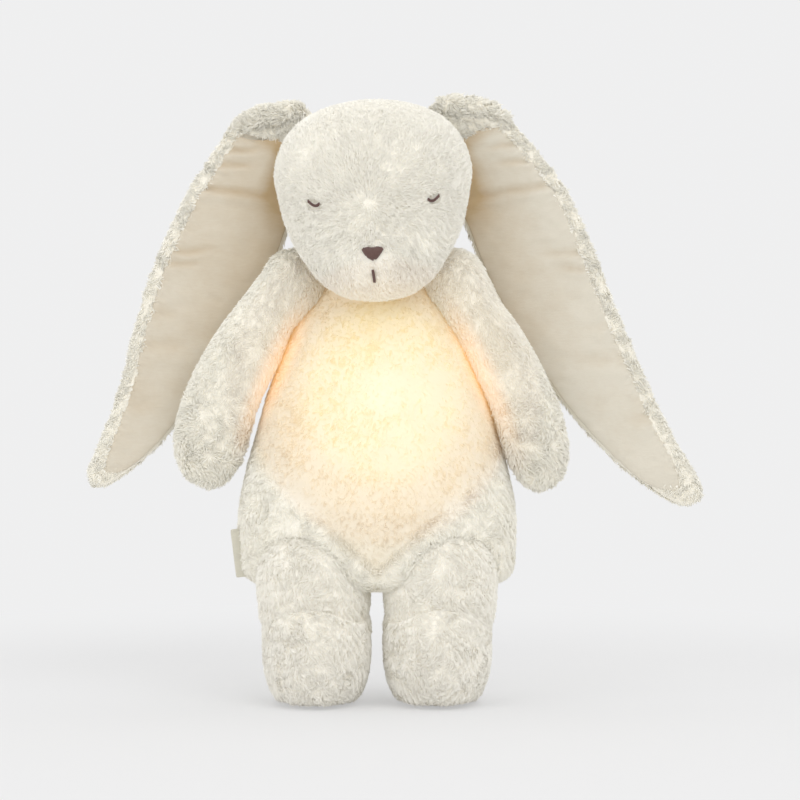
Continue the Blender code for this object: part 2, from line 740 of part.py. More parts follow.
def make_pocket():
    """The fabric cup that holds the unit, open at the back."""
    inner = UNIT_RADIUS + POCKET_PLAY
    outer = inner + POCKET_WALL
    front = pocket_floor()
    mouth = unit_back() - POCKET_MOUTH_SINK
    profile = [(0.0, front), (outer, front), (outer, mouth), (inner, mouth),
               (inner, front + POCKET_WALL), (0.0, front + POCKET_WALL)]
    turned("light_pocket", profile, UNIT_SIDES, (0.0, 0.0, UNIT_HEIGHT), POCKET_WHITE)


def make_tail():
    """The round tail, seated on the torso's back."""
    place = (0.0, torso_back(TAIL_HEIGHT) + TAIL_STAND_share * TAIL_RADIUS, TAIL_HEIGHT)
    tail = ball("tail", TAIL_RADIUS, "Y", TAIL_SIDES, place, finish=PLUSH_CREAM)
    cut(tail, torso_guide("tail_seat", SEAM_GAP))


def make_label():
    """The bare label that is sewn into the side seam."""
    edge = torso_side(LABEL_MIDDLE) + LABEL_STAND
    place = (-edge, -LABEL_FORWARD, LABEL_MIDDLE)
    outline = box_outline(LABEL_WIDTH, LABEL_HEIGHT, LABEL_WIDTH / 2)
    label = prism("side_label", outline, 0.0, LABEL_THICKNESS, LABEL_IVORY, place=place)
    label.rotation_euler = (0.0, -LABEL_LEAN, 0.0)
    cut(label, torso_guide("label_seat", SEAM_GAP))


# Head and ears

def in_head_frame(point, tilt):
    """A point of the torso in the head's frame, with the head tilted by an angle."""
    turn = Matrix.Rotation(HEAD_LEAN - tilt, 3, "Y")
    return turn @ (Vector(point) - Vector((0.0, 0.0, NECK_HEIGHT)))


def make_head(head_axis):
    """The head, with sockets for the neck and the ears' roots, and room to tilt to the shoulders."""
    head = hang(add_object("head", head_mesh("head"), PLUSH_CREAM), head_axis)
    cut(head, ball("neck_socket", NECK_RADIUS + JOINT_GAP, "Y", NECK_SIDES, (0.0, 0.0, 0.0), head_axis))
    for side, sign in SIDES.items():
        cut(head, ball("ear_socket_" + side, EAR_ROOT_RADIUS + JOINT_GAP, "Y", EAR_ROOT_SIDES,
                       ear_root(sign), head_axis, half_along=EAR_ROOT_HALF_DEPTH + JOINT_GAP))
        for share in (0.5, 1.0):
            room = in_head_frame(shoulder_place(side), sign * HEAD_TILT * share)
            cut(head, ball(f"shoulder_room_{side}_{share}", SHOULDER_RADIUS + SWEEP_GAP, "Y",
                           SHOULDER_SIDES, room, head_axis))


def head_guide(name, grow, head_axis):
    """A guide of the head's form, grown by a distance."""
    return hang(add_object(name, head_mesh(name, grow)), head_axis)


def make_face(head_axis):
    """The nose, mouth and closed eyes, each a raised pad that follows the head's surface."""
    under = head_guide("face_inside", SEAM_GAP, head_axis)
    over = head_guide("face_outside", SEAM_GAP + EMBROIDERY, head_axis)
    nose = [(FACE_SHIFT + x * NOSE_HALF_WIDTH, NOSE_HEIGHT + z * NOSE_HALF_HEIGHT) for x, z in nose_shares]
    mouth = [(FACE_SHIFT + x * MOUTH_HALF_HEIGHT, MOUTH_HEIGHT + z * MOUTH_HALF_HEIGHT)
             for x, z in mouth_shares]
    outlines = {"nose": closed_curve(nose, NOSE_POINTS), "mouth": stroke_outline(mouth, MOUTH_THREAD)}
    for side, sign in SIDES.items():
        lid = [(sign * (EYE_OUT + x * EYE_HALF_WIDTH), EYE_HEIGHT + z * EYE_HALF_WIDTH)
               for x, z in eye_shares]
        outlines["eye_" + side] = stroke_outline(lid, EYE_THREAD)
    for name, outline in outlines.items():
        pad = prism(name, outline, -HEAD_HALF_DEPTH - OVERRUN, -FACE_BACK_share * HEAD_HALF_DEPTH,
                    THREAD_BROWN, head_axis)
        cut(pad, over, "INTERSECT")
        cut(pad, under)


def ear_root(sign):
    """The middle of an ear's root in the head's frame."""
    return (sign * EAR_ROOT_OUT, EAR_ROOT_BACK, EAR_ROOT_HEIGHT)


def ear_rows(side, count, inset_out=0.0, inset_in=0.0, half_depth=EAR_HALF_DEPTH, y=0.0,
             start_share=0.0, end_share=1.0, fold_share=0.0):
    """An ear's smooth rows in its root's frame, inset from its outer and inner edges.

    The plush folds over at the root, which thickens the ear there by the fold's share.
    """
    sign = SIDES[side]
    length = EAR_LENGTH[side]
    whole = np.array(ear_shares[side])
    kept = whole[(whole[:, 0] > start_share) & (whole[:, 0] < end_share)]
    ends = [[np.interp(share, whole[:, 0], whole[:, 1])] for share in (start_share, end_share)]
    along = np.concatenate([[start_share], kept[:, 0], [end_share]]) * length
    bow = np.concatenate([ends[0], kept[:, 1], ends[1]]) * length
    half = np.concatenate([[0.0], kept[:, 2] * EAR_HALF_WIDTH, [0.0]])
    narrow = np.maximum(half - (inset_out + inset_in) / 2, half * 0.25)
    # The outer edge is on the side away from the bow, so the inset form moves towards the bow
    taper = (half - narrow) / max((inset_out + inset_in) / 2, SEAM_GAP)
    bow = bow + (inset_out - inset_in) / 2 * taper
    down = np.array([math.cos(EAR_HANG), -math.sin(EAR_HANG)])
    inward = np.array([-math.sin(EAR_HANG), -math.cos(EAR_HANG)])
    spine = along[:, None] * down + bow[:, None] * inward
    fold = np.clip(1.0 - along / (EAR_FOLD_END_share * length), 0.0, 1.0) * fold_share
    depth = np.where(narrow > 0.0, half_depth * (1.0 + fold), 0.0)
    rows = np.column_stack([sign * spine[:, 0], spine[:, 1], narrow, np.full(len(along), y), depth])
    return smooth_rows(rows, count, LIMB_CROWD_share)


def make_ear(side, head_axis):
    """One hanging ear: a plush layer with a rim, a velvet lining laid into it, and a round root."""
    sign = SIDES[side]
    axis = pivot("ear_" + side + "_axis", ear_root(sign), head_axis)
    plush = form_mesh("ear_" + side, ear_rows(side, EAR_RINGS, fold_share=EAR_FOLD_share), EAR_SIDES,
                      EAR_SQUARENESS)
    ear = add_object("ear_" + side, plush, PLUSH_CREAM)
    hang(ear, axis)
    pocket_depth = LINING_THICKNESS + SEAM_GAP
    bed = form_mesh("ear_bed", ear_rows(
        side, LINING_RINGS, EAR_OUTER_RIM, EAR_INNER_RIM, pocket_depth, -EAR_HALF_DEPTH,
        LINING_START_share, LINING_END_share), LINING_SIDES, EAR_SQUARENESS)
    cut(ear, hang(add_object("ear_bed_" + side, bed), axis))
    seat = head_guide("ear_seat_" + side, SEAM_GAP, head_axis)
    cut(ear, seat)
    cut(ear, ball("ear_root_" + side, EAR_ROOT_RADIUS, "Y", EAR_ROOT_SIDES, (0.0, 0.0, 0.0), axis,
                  half_along=EAR_ROOT_HALF_DEPTH), "UNION")
    name = "ear_" + side + "_lining"
    end_gap = 2 * SEAM_GAP / EAR_LENGTH[side]
    cloth = form_mesh(name, ear_rows(
        side, LINING_RINGS, EAR_OUTER_RIM + SEAM_GAP, EAR_INNER_RIM + SEAM_GAP, LINING_THICKNESS,
        -EAR_HALF_DEPTH, LINING_START_share + end_gap, LINING_END_share - end_gap), LINING_SIDES,
        EAR_SQUARENESS)
    lining = hang(add_object(name, cloth, VELVET_BEIGE), axis)
    front = box_outline(2 * EAR_LENGTH[side] + OVERRUN, 2 * EAR_LENGTH[side] + OVERRUN)
    cut(lining, prism("lining_front_" + side, front, -EAR_HALF_DEPTH - OVERRUN, -EAR_HALF_DEPTH,
                      parent=axis))
    cut(lining, seat)
    cut(lining, ball("lining_root_" + side, EAR_ROOT_RADIUS + SEAM_GAP, "Y", EAR_ROOT_SIDES,
                     (0.0, 0.0, 0.0), axis, half_along=EAR_ROOT_HALF_DEPTH + SEAM_GAP))


# Limbs

def arm_rows(side, count):
    """An arm's smooth rows in its shoulder's frame."""
    sign = SIDES[side]
    hang_angle = ARM_HANG[side]
    down = np.array([math.cos(hang_angle), -math.sin(hang_angle)])
    outward = np.array([math.sin(hang_angle), math.cos(hang_angle)])
    table = np.array(arm_shares[side])
    spine = table[:, 0:1] * ARM_LENGTH[side] * down + table[:, 1:2] * ARM_BOW[side] * outward
    rows = np.column_stack([
        sign * spine[:, 0], spine[:, 1], table[:, 2] * ARM_HALF_WIDTH[side],
        np.zeros(len(table)), table[:, 3] * ARM_HALF_DEPTH,
    ])
    return smooth_rows(rows, count, LIMB_CROWD_share)


def make_arm(side):
    """One hanging arm with a round shoulder."""
    axis = pivot("arm_" + side + "_axis", shoulder_place(side))
    name = "arm_" + side
    arm = hang(add_object(name, form_mesh(name, arm_rows(side, ARM_RINGS), ARM_SIDES), PLUSH_CREAM), axis)
    cut(arm, torso_guide("arm_seat_" + side, SEAM_GAP))
    cut(arm, ball("shoulder_" + side, SHOULDER_RADIUS, "Y", SHOULDER_SIDES, (0.0, 0.0, 0.0), axis), "UNION")


def leg_mesh(name, grow=0.0):
    """The leg's shaft in its hip's frame."""
    rows = [
        (0.0, h * LEG_HEIGHT - LEG_DROP, w * LEG_HALF_WIDTH, 0.0, d * LEG_HALF_DEPTH)
        for h, w, d in leg_shares
    ]
    return form_mesh(name, grown_rows(smooth_rows(rows, LEG_RINGS), grow), LEG_SIDES)


def foot_mesh(name):
    """The foot's form, its sole reaching below the floor by the depth of its flat cut."""
    rows = [
        (0.0, h * FOOT_HEIGHT - SOLE_CUT, w * FOOT_HALF_WIDTH,
         m * FOOT_HALF_DEPTH, d * FOOT_HALF_DEPTH)
        for h, w, m, d in foot_shares
    ]
    return form_mesh(name, smooth_rows(rows, FOOT_RINGS), FOOT_SIDES)


def make_leg(side):
    """One leg with a round hip, and its foot, which stands flat on the floor."""
    sign = SIDES[side]
    hip = hip_place(sign)
    axis = pivot("leg_" + side + "_axis", hip)
    leg = hang(add_object("leg_" + side, leg_mesh("leg_" + side), PLUSH_CREAM), axis)
    cut(leg, torso_guide("leg_seat_" + side, SEAM_GAP))
    for i in range(LEG_FOLD_STEPS):
        # What the torso sweeps through as the leg folds, seen from the leg
        fold = LEG_FOLD * (i + 1) / LEG_FOLD_STEPS
        swept = torso_guide(f"leg_sweep_{side}_{i + 1}", SWEEP_GAP)
        swept.data.transform(Matrix.Translation(hip) @ Matrix.Rotation(fold, 4, "X")
                             @ Matrix.Translation(-Vector(hip)))
        cut(leg, swept)
    cut(leg, ball("hip_" + side, HIP_RADIUS, "X", HIP_SIDES, (0.0, 0.0, 0.0), axis,
                  half_along=HIP_HALF_WIDTH), "UNION")
    foot = hang(add_object("foot_" + side, foot_mesh("foot_" + side), PLUSH_CREAM), axis,
                (sign * FOOT_OUT - hip[0], -hip[1], -hip[2]))
    ground = box_outline(4 * FOOT_HALF_WIDTH, OVERRUN, 0.0, -OVERRUN / 2)
    cut(foot, prism("ground_" + side, ground, -2 * FOOT_HALF_DEPTH, 2 * FOOT_HALF_DEPTH,
                    place=(sign * FOOT_OUT, 0.0, 0.0)))
    ankle = hang(add_object("ankle_" + side, leg_mesh("ankle_" + side, SEAM_GAP)), axis)
    cut(ankle, ball("ankle_hip_" + side, HIP_RADIUS + SEAM_GAP, "X", HIP_SIDES, (0.0, 0.0, 0.0), axis,
                    half_along=HIP_HALF_WIDTH + SEAM_GAP), "UNION")
    cut(foot, ankle)


# Light-and-sound unit

def unit_place(x=0.0, z=0.0):
    """A point on the unit's face plane, at an offset from its axis."""
    return (x, 0.0, UNIT_HEIGHT + z)


def around(radius, count, start=0.0):
    """Points evenly round a circle."""
    steps = [start + 2.0 * math.pi * i / count for i in range(count)]
    return [(radius * math.cos(a), radius * math.sin(a)) for a in steps]


def housing_back():
    """Where the housing's back rim lies, just under the cover."""
    return unit_back() - COVER_THICKNESS - SEAM_GAP


def housing_front():
    """Where the housing's front rim lies."""
    return housing_back() - HOUSING_DEPTH


def shelf_front():
    """The front face of the housing's inner shelf."""
    return housing_front() + SHELF_SETBACK


def battery_back():
    """The back face of the battery, which lies on the shelf."""
    return shelf_front() + SHELF_THICKNESS + SEAM_GAP + BATTERY_THICKNESS


def main_board_front():
    """The front face of the main board, which lies on the battery."""
    return battery_back() + SEAM_GAP


def main_board_back():
    """The back face of the main board."""
    return main_board_front() + BOARD_THICKNESS


def screw_places():
    """The four screws' places round the unit's axis."""
    return around(BOSS_RING_RADIUS, 4, math.pi / 4)


def button_places():
    """The three buttons' places beside the unit's axis, with their names."""
    return [(name, (i - 1) * BUTTON_PITCH, BUTTON_RISE) for i, name in enumerate(BUTTON_NAMES)]


def make_diffuser():
    """The milky dome over the LEDs: a hollow cup with a domed front."""
    back = housing_front() - GASKET_THICKNESS - 2 * SEAM_GAP
    front = unit_back() - UNIT_DEPTH
    shoulder = front + DOME_SHOULDER_share * (back - front)
    profile = []
    for radius, tip, rim in (
        (UNIT_RADIUS, front, back),
        (UNIT_RADIUS - UNIT_WALL, front + UNIT_WALL, back),
    ):
        steps = [0.5 * math.pi * i / DOME_STEPS for i in range(DOME_STEPS + 1)]
        dome = [(radius * math.sin(a), shoulder - (shoulder - tip) * math.cos(a)) for a in steps]
        wall = dome + [(radius, rim)]
        profile += wall if not profile else wall[::-1]
    turned("front_diffuser", profile, UNIT_SIDES, unit_place(), DIFFUSER_MILK)
    inner = UNIT_RADIUS - GASKET_WALL
    seal_front = back + SEAM_GAP
    seal_back = seal_front + GASKET_THICKNESS
    ring = [(inner, seal_front), (UNIT_RADIUS, seal_front), (UNIT_RADIUS, seal_back), (inner, seal_back)]
    turned("gasket", ring, UNIT_SIDES, unit_place(), GASKET_GREY)


def make_housing():
    """The middle of the casing: a tube with an inner shelf and four screw bosses."""
    outer, inner = UNIT_RADIUS, UNIT_RADIUS - UNIT_WALL
    front, back = housing_front(), housing_back()
    shelf, shelf_end = shelf_front(), shelf_front() + SHELF_THICKNESS
    profile = [
        (outer, front), (outer, back), (inner, back), (inner, shelf_end), (SHELF_BORE, shelf_end),
        (SHELF_BORE, shelf), (inner, shelf), (inner, front),
    ]
    housing = turned("mid_housing", profile, UNIT_SIDES, unit_place(), CASE_WHITE)
    for i, (x, z) in enumerate(screw_places()):
        boss = rod(f"boss_{i + 1}", BOSS_RADIUS, shelf + SHELF_THICKNESS / 2, back, BOSS_SIDES,
                   unit_place(x, z))
        cut(housing, boss, "UNION")
        pilot = rod(f"pilot_{i + 1}", PILOT_RADIUS, back - PILOT_DEPTH, back + OVERRUN, BOSS_SIDES,
                    unit_place(x, z))
        cut(housing, pilot)


def make_led_board():
    """The round board that lies on the shelf's front, with a ring of LEDs on it."""
    back = shelf_front() - SEAM_GAP
    front = back - BOARD_THICKNESS
    radius = UNIT_RADIUS - UNIT_WALL - BOARD_EDGE_GAP
    board = rod("led_board", radius, front, back, UNIT_SIDES, unit_place(), BOARD_GREEN)
    for i, (x, z) in enumerate(around(LED_RING_RADIUS, LED_COUNT)):
        led = prism(f"led_{i + 1}", box_outline(LED_SIZE, LED_SIZE, x, z), front - LED_HEIGHT,
                    front + BOARD_THICKNESS / 2, place=unit_place())
        cut(board, led, "UNION")


def make_main_board():
    """The control board, notched round the bosses, with a switch under each button."""
    front, back = main_board_front(), main_board_back()
    radius = UNIT_RADIUS - UNIT_WALL - BOARD_EDGE_GAP
    board = rod("main_board", radius, front, back, UNIT_SIDES, unit_place(), BOARD_GREEN)
    for i, (x, z) in enumerate(screw_places()):
        notch = rod(f"notch_{i + 1}", BOSS_RADIUS + SEAM_GAP, front - OVERRUN, back + OVERRUN, BOSS_SIDES,
                    unit_place(x, z))
        cut(board, notch)
    switch_top = back + SWITCH_HEIGHT
    plunger_top = button_foot() - BUTTON_TRAVEL - SEAM_GAP
    for name, x, z in button_places():
        switch = prism(name + "_switch", box_outline(SWITCH_SIZE, SWITCH_SIZE, x, z),
                       back - BOARD_THICKNESS / 2, switch_top, place=unit_place())
        cut(board, switch, "UNION")
        plunger = rod(name + "_plunger", PLUNGER_RADIUS, back, plunger_top, SCREW_SIDES, unit_place(x, z))
        cut(board, plunger, "UNION")


def make_battery():
    """The flat rechargeable cell between the shelf and the main board."""
    back = battery_back()
    half, tall = BATTERY_WIDTH / 2, BATTERY_HEIGHT / 2
    outline = rounded_outline(half, tall, -tall, BATTERY_EDGE, BATTERY_EDGE)
    prism("battery", outline, back - BATTERY_THICKNESS, back, CELL_SILVER, place=unit_place())


def make_speaker():
    """The small speaker under the cover's grille, its cone a shallow dish."""
    back = housing_back()
    front = main_board_back() + SEAM_GAP
    rim = SPEAKER_RADIUS * 0.86
    profile = [
        (0.0, front), (SPEAKER_RADIUS * 0.72, front), (SPEAKER_RADIUS, front + (back - front) * 0.55),
        (SPEAKER_RADIUS, back), (rim, back), (rim * 0.45, back - SPEAKER_CONE_SINK),
        (0.0, back - SPEAKER_CONE_SINK * 0.55),
    ]
    turned("speaker", profile, BUTTON_SIDES, unit_place(0.0, -SPEAKER_DROP), SPEAKER_BLACK)


def make_usb_socket():
    """The charging socket, which stands on the main board behind its opening in the cover."""
    front = main_board_back() + SEAM_GAP
    back = unit_back() - USB_SINK
    socket = prism("usb_socket", box_outline(USB_WIDTH, USB_HEIGHT, 0.0, USB_RISE), front, back, STEEL,
                   place=unit_place())
    mouth = box_outline(USB_WIDTH - 2 * USB_WALL, USB_HEIGHT - 2 * USB_WALL, 0.0, USB_RISE)
    cut(socket, prism("usb_mouth", mouth, front + USB_FLOOR, back + OVERRUN, place=unit_place()))


def button_foot():
    """Where the front end of a button's flange lies."""
    return housing_back() - BUTTON_FLANGE_THICKNESS


def make_buttons():
    """The three push buttons, each a cap over a flange that the cover keeps in."""
    for name, x, z in button_places():
        axis = pivot(name + "_axis", (x, unit_back(), UNIT_HEIGHT + z))
        foot = button_foot() - unit_back()
        ledge = housing_back() - unit_back()
        profile = [
            (0.0, foot), (BUTTON_FLANGE_RADIUS, foot), (BUTTON_FLANGE_RADIUS, ledge), (BUTTON_RADIUS, ledge),
            (BUTTON_RADIUS, BUTTON_PROUD * 2 / 3), (BUTTON_RADIUS * 0.86, BUTTON_PROUD),
            (0.0, BUTTON_PROUD),
        ]
        turned(name, profile, BUTTON_SIDES, (0.0, 0.0, 0.0), BUTTON_GREY, axis)


def grille_places():
    """The grille's holes: one in the middle and a ring of six round it."""
    return [(0.0, 0.0)] + around(GRILLE_PITCH, 6)


def make_back_cover():
    """The cover with its button holes, grille, charging opening and countersunk screw holes."""
    front, back = unit_back() - COVER_THICKNESS, unit_back()
    edge = COVER_THICKNESS / 3
    profile = [
        (0.0, front), (UNIT_RADIUS, front), (UNIT_RADIUS, back - edge), (UNIT_RADIUS - edge, back),
        (0.0, back),
    ]
    cover = turned("back_cover", profile, UNIT_SIDES, unit_place(), CASE_WHITE)
    for name, x, z in button_places():
        cut(cover, rod(name + "_hole", BUTTON_RADIUS + SEAM_GAP, front - OVERRUN, back + OVERRUN,
                       BUTTON_SIDES, unit_place(x, z)))
    for i, (x, z) in enumerate(grille_places()):
        cut(cover, rod(f"grille_{i + 1}", GRILLE_HOLE_RADIUS, front - OVERRUN, back + OVERRUN,
                       GRILLE_HOLE_SIDES, unit_place(x, z - SPEAKER_DROP)))
    slot = box_outline(USB_WIDTH + 2 * SEAM_GAP, USB_HEIGHT + 2 * SEAM_GAP, 0.0, USB_RISE)
    cut(cover, prism("usb_slot", slot, front - OVERRUN, back + OVERRUN, place=unit_place()))
    seat = back - SCREW_SINK - SCREW_HEAD_THICKNESS - SEAM_GAP
    wide = SCREW_HEAD_RADIUS + SEAM_GAP
    for i, (x, z) in enumerate(screw_places()):
        profile = [
            (0.0, front - OVERRUN), (PILOT_RADIUS, front - OVERRUN), (PILOT_RADIUS, seat), (wide, seat),
            (wide, back + OVERRUN), (0.0, back + OVERRUN),
        ]
        cut(cover, turned(f"screw_hole_{i + 1}", profile, SCREW_SIDES, unit_place(x, z)))


def make_screws():
    """The four screws, each with a cross-slotted head in the cover and a shank in its boss."""
    top = unit_back() - SCREW_SINK
    under = top - SCREW_HEAD_THICKNESS
    for i, (x, z) in enumerate(screw_places()):
        profile = [
            (0.0, under - SCREW_LENGTH), (SCREW_SHANK_RADIUS, under - SCREW_LENGTH + SCREW_SHANK_RADIUS),
            (SCREW_SHANK_RADIUS, under), (SCREW_HEAD_RADIUS, under), (SCREW_HEAD_RADIUS, top), (0.0, top),
        ]
        screw = turned(f"screw_{i + 1}", profile, SCREW_SIDES, unit_place(x, z), STEEL)
        reach = SCREW_HEAD_RADIUS * 1.2
        for turn, (wide, tall) in enumerate(((reach, SCREW_SLOT), (SCREW_SLOT, reach))):
            slot = prism(f"slot_{i + 1}_{turn + 1}", box_outline(wide, tall),
                         top - SCREW_HEAD_THICKNESS / 2, top + OVERRUN, place=unit_place(x, z))
            cut(screw, slot)


def make_unit():
    """The light-and-sound unit, piece by piece from its front to its back."""
    make_diffuser()
    make_housing()
    make_led_board()
    make_battery()
    make_main_board()
    make_speaker()
    make_usb_socket()
    make_buttons()
    make_back_cover()
    make_screws()


def centre_toy():
    """Carry everything on one empty, so that the origin lies under the middle of the whole toy."""
    loose = [piece for piece in bpy.data.objects if piece.parent is None]
    toy = pivot("toy", (-TOY_SHIFT, 0.0, 0.0))
    for piece in loose:
        piece.parent = toy


def main():
    """Build the whole toy."""
    clear_scene()
    make_torso()
    make_pocket()
    make_back_flap()
    make_tail()
    make_label()
    head_axis = pivot("head_tilt_axis", (0.0, 0.0, NECK_HEIGHT), lean=HEAD_LEAN)
    make_head(head_axis)
    make_face(head_axis)
    for side in SIDES:
        make_ear(side, head_axis)
        make_arm(side)
        make_leg(side)
    make_unit()
    centre_toy()


main()
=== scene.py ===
"""Looks of the plush rabbit night light: stuffed forms with their pile, linings, thread and finishes.

Metres in the row frame: +Z up, the face towards -Y, the toy's own left at +X.
"""

import sys
import logging
import math
from collections.abc import Callable, Iterator
from dataclasses import dataclass, field
from enum import Enum

import bpy
import numpy as np
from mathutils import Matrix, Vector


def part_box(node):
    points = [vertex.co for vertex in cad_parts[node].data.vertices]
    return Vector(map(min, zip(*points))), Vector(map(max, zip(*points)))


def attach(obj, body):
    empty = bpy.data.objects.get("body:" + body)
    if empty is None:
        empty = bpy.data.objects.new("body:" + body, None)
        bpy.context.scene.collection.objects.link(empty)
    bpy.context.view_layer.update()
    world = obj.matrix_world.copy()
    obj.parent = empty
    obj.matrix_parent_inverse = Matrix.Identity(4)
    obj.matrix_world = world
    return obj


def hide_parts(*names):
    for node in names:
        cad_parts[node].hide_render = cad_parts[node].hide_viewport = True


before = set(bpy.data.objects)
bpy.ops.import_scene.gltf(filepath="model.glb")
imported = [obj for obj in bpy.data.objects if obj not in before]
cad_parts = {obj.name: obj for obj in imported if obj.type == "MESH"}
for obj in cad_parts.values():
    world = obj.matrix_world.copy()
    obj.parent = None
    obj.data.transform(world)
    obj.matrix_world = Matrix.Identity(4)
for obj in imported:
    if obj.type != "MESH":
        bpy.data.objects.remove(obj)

Array = np.ndarray
Point = tuple[float, float, float]
Row = tuple[float, float, float, float]
Mover = Callable[[Array], Array]
Share = Callable[[Array, Array], Array]
LOG = logging.getLogger("night_light")
MIDDLE = -0.0096
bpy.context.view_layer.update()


class Side(Enum):
    """The toy's own sides, with the sign of X on each."""

    LEFT = 1
    RIGHT = -1

    @property
    def word(self) -> str:
        """The side's name as the nodes and bodies have it."""
        return self.name.lower()


# Working with arrays of points


def unit(vectors: Array) -> Array:
    """Vectors at length one: each divided by its length, with a floor under the length."""
    return vectors / np.maximum(np.linalg.norm(vectors, axis=-1, keepdims=True), 1e-12)


def ease(low: float, high: float, value: Array) -> Array:
    """Nought below low, one above high, and 3t^2 - 2t^3 of the share t of the way in between."""
    t = np.clip((value - low) / (high - low), 0.0, 1.0)
    return t * t * (3.0 - 2.0 * t)


def bell(value: Array, width: float) -> Array:
    """A bell curve: e to the minus square of value over width."""
    return np.exp(-((value / width) ** 2))


def noise(points: Array, size: float, seed: int = 0) -> Array:
    """Smooth chance values from -1 to 1.

    Each corner of a lattice of cubes has a hashed value, and a point takes the mix of its cube's
    eight corners by eased shares along the three axes.

    Args:
        points: N by 3 positions in metres.
        size: The cubes' edge.
        seed: Picks another set of values.

    Returns:
        One value per point.
    """
    q = points / size
    low = np.floor(q).astype(np.int64)
    t = q - low
    t = t * t * (3.0 - 2.0 * t)
    total = np.zeros(len(points))
    for corner in range(8):
        step = np.array([corner & 1, corner >> 1 & 1, corner >> 2 & 1])
        cell = (low + step) & 0xFFFF
        key = (cell[:, 0] * 73856093) ^ (cell[:, 1] * 19349663) ^ (cell[:, 2] * 83492791) ^ (seed * 7919)
        key = (key * 2246822519) & 0xFFFFFFFF
        key = ((key ^ (key >> 13)) * 3266489917) & 0xFFFFFFFF
        value = (key ^ (key >> 16)) / 2.0**31 - 1.0
        total += value * np.prod(np.where(step, t, 1.0 - t), axis=1)
    return total


def noise_vector(points: Array, size: float, seed: int = 0) -> Array:
    """Three separate noises, one for each axis."""
    return np.stack([noise(points, size, seed + i) for i in range(3)], axis=1)


def turn_y(points: Array, angle: float) -> Array:
    """Points turned about the Y axis, +Z towards +X."""
    c, s = math.cos(angle), math.sin(angle)
    return np.stack([points[:, 0] * c + points[:, 2] * s, points[:, 1], points[:, 2] * c - points[:, 0] * s],
                    axis=1)


@dataclass
class Patch:
    """A piece of mesh in the making: corners, four- and three-sided faces, and two shades per corner."""

    points: Array
    quads: Array
    tris: Array
    pile: Array
    tone: Array

    def joined(self, *others: "Patch") -> "Patch":
        """This patch and others as one, each one's face numbers moved on past the corners before it."""
        parts = [self, *others]
        starts = np.cumsum([0] + [len(p.points) for p in parts[:-1]])
        return Patch(
            np.concatenate([p.points for p in parts]),
            np.concatenate([p.quads + n for p, n in zip(parts, starts)]),
            np.concatenate([p.tris + n for p, n in zip(parts, starts)]),
            np.concatenate([p.pile for p in parts]),
            np.concatenate([p.tone for p in parts]),
        )

    def made(self, name: str) -> bpy.types.Object:
        """The patch as a smooth-shaded object at the origin."""
        mesh = bpy.data.meshes.new(name)
        loops = np.concatenate([self.quads.ravel(), self.tris.ravel()])
        sizes = np.concatenate([np.full(len(self.quads), 4), np.full(len(self.tris), 3)])
        mesh.vertices.add(len(self.points))
        mesh.vertices.foreach_set("co", self.points.astype(np.float32).ravel())
        mesh.loops.add(len(loops))
        mesh.loops.foreach_set("vertex_index", loops.astype(np.int32))
        mesh.polygons.add(len(sizes))
        mesh.polygons.foreach_set("loop_start",
                                  np.concatenate([[0], np.cumsum(sizes)[:-1]]).astype(np.int32))
        mesh.update(calc_edges=True)
        for label, values in (("pile", self.pile), ("tone", self.tone)):
            mesh.attributes.new(label, "FLOAT", "POINT").data.foreach_set("value", values.astype(np.float32))
        mesh.shade_smooth()
        tufted = np.concatenate([self.pile[self.quads].max(axis=1, initial=0.0),
                                 self.pile[self.tris].max(axis=1, initial=0.0)]) > 0.0
        mesh.attributes.new("sharp_face", "BOOLEAN", "FACE").data.foreach_set("value", tufted)
        made = bpy.data.objects.new(name, mesh)
        bpy.context.scene.collection.objects.link(made)
        return made


def plain_patch(points: Array, quads: Array, tris: Array | None = None) -> Patch:
    """A patch with no pile, its shades all nought."""
    tris = np.zeros((0, 3), int) if tris is None else tris
    return Patch(points, quads, tris, np.zeros(len(points)), np.zeros(len(points)))


def ring_patch(rings: Array, first: Array, last: Array) -> Patch:
    """A closed skin through rings of points, with a pole before the first and after the last.

    Args:
        rings: Rings by points by 3.
        first: The pole before the first ring.
        last: The pole after the last ring.
    """
    rows, sides = rings.shape[:2]
    i, j = np.meshgrid(np.arange(rows - 1), np.arange(sides), indexing="ij")
    k = (j + 1) % sides
    quads = np.stack([i * sides + j, i * sides + k, (i + 1) * sides + k, (i + 1) * sides + j], axis=-1)
    j = np.arange(sides)
    k = (j + 1) % sides
    a, b = np.full(sides, rows * sides), np.full(sides, rows * sides + 1)
    low = np.stack([a, k, j], axis=1)
    high = np.stack([b, (rows - 1) * sides + j, (rows - 1) * sides + k], axis=1)
    points = np.vstack([rings.reshape(-1, 3), first, last])
    patch = plain_patch(points, quads.reshape(-1, 4), np.vstack([low, high]))
    return outward(patch)


def outward(patch: Patch) -> Patch:
    """The patch with its faces turned round if they enclose a negative volume."""
    p = patch.points
    q = patch.quads
    t = np.vstack([q[:, [0, 1, 2]], q[:, [0, 2, 3]], patch.tris])
    volume = np.einsum("ij,ij->i", p[t[:, 0]], np.cross(p[t[:, 1]], p[t[:, 2]])).sum()
    if volume < 0.0:
        patch.quads = patch.quads[:, ::-1]
        patch.tris = patch.tris[:, ::-1]
    return patch


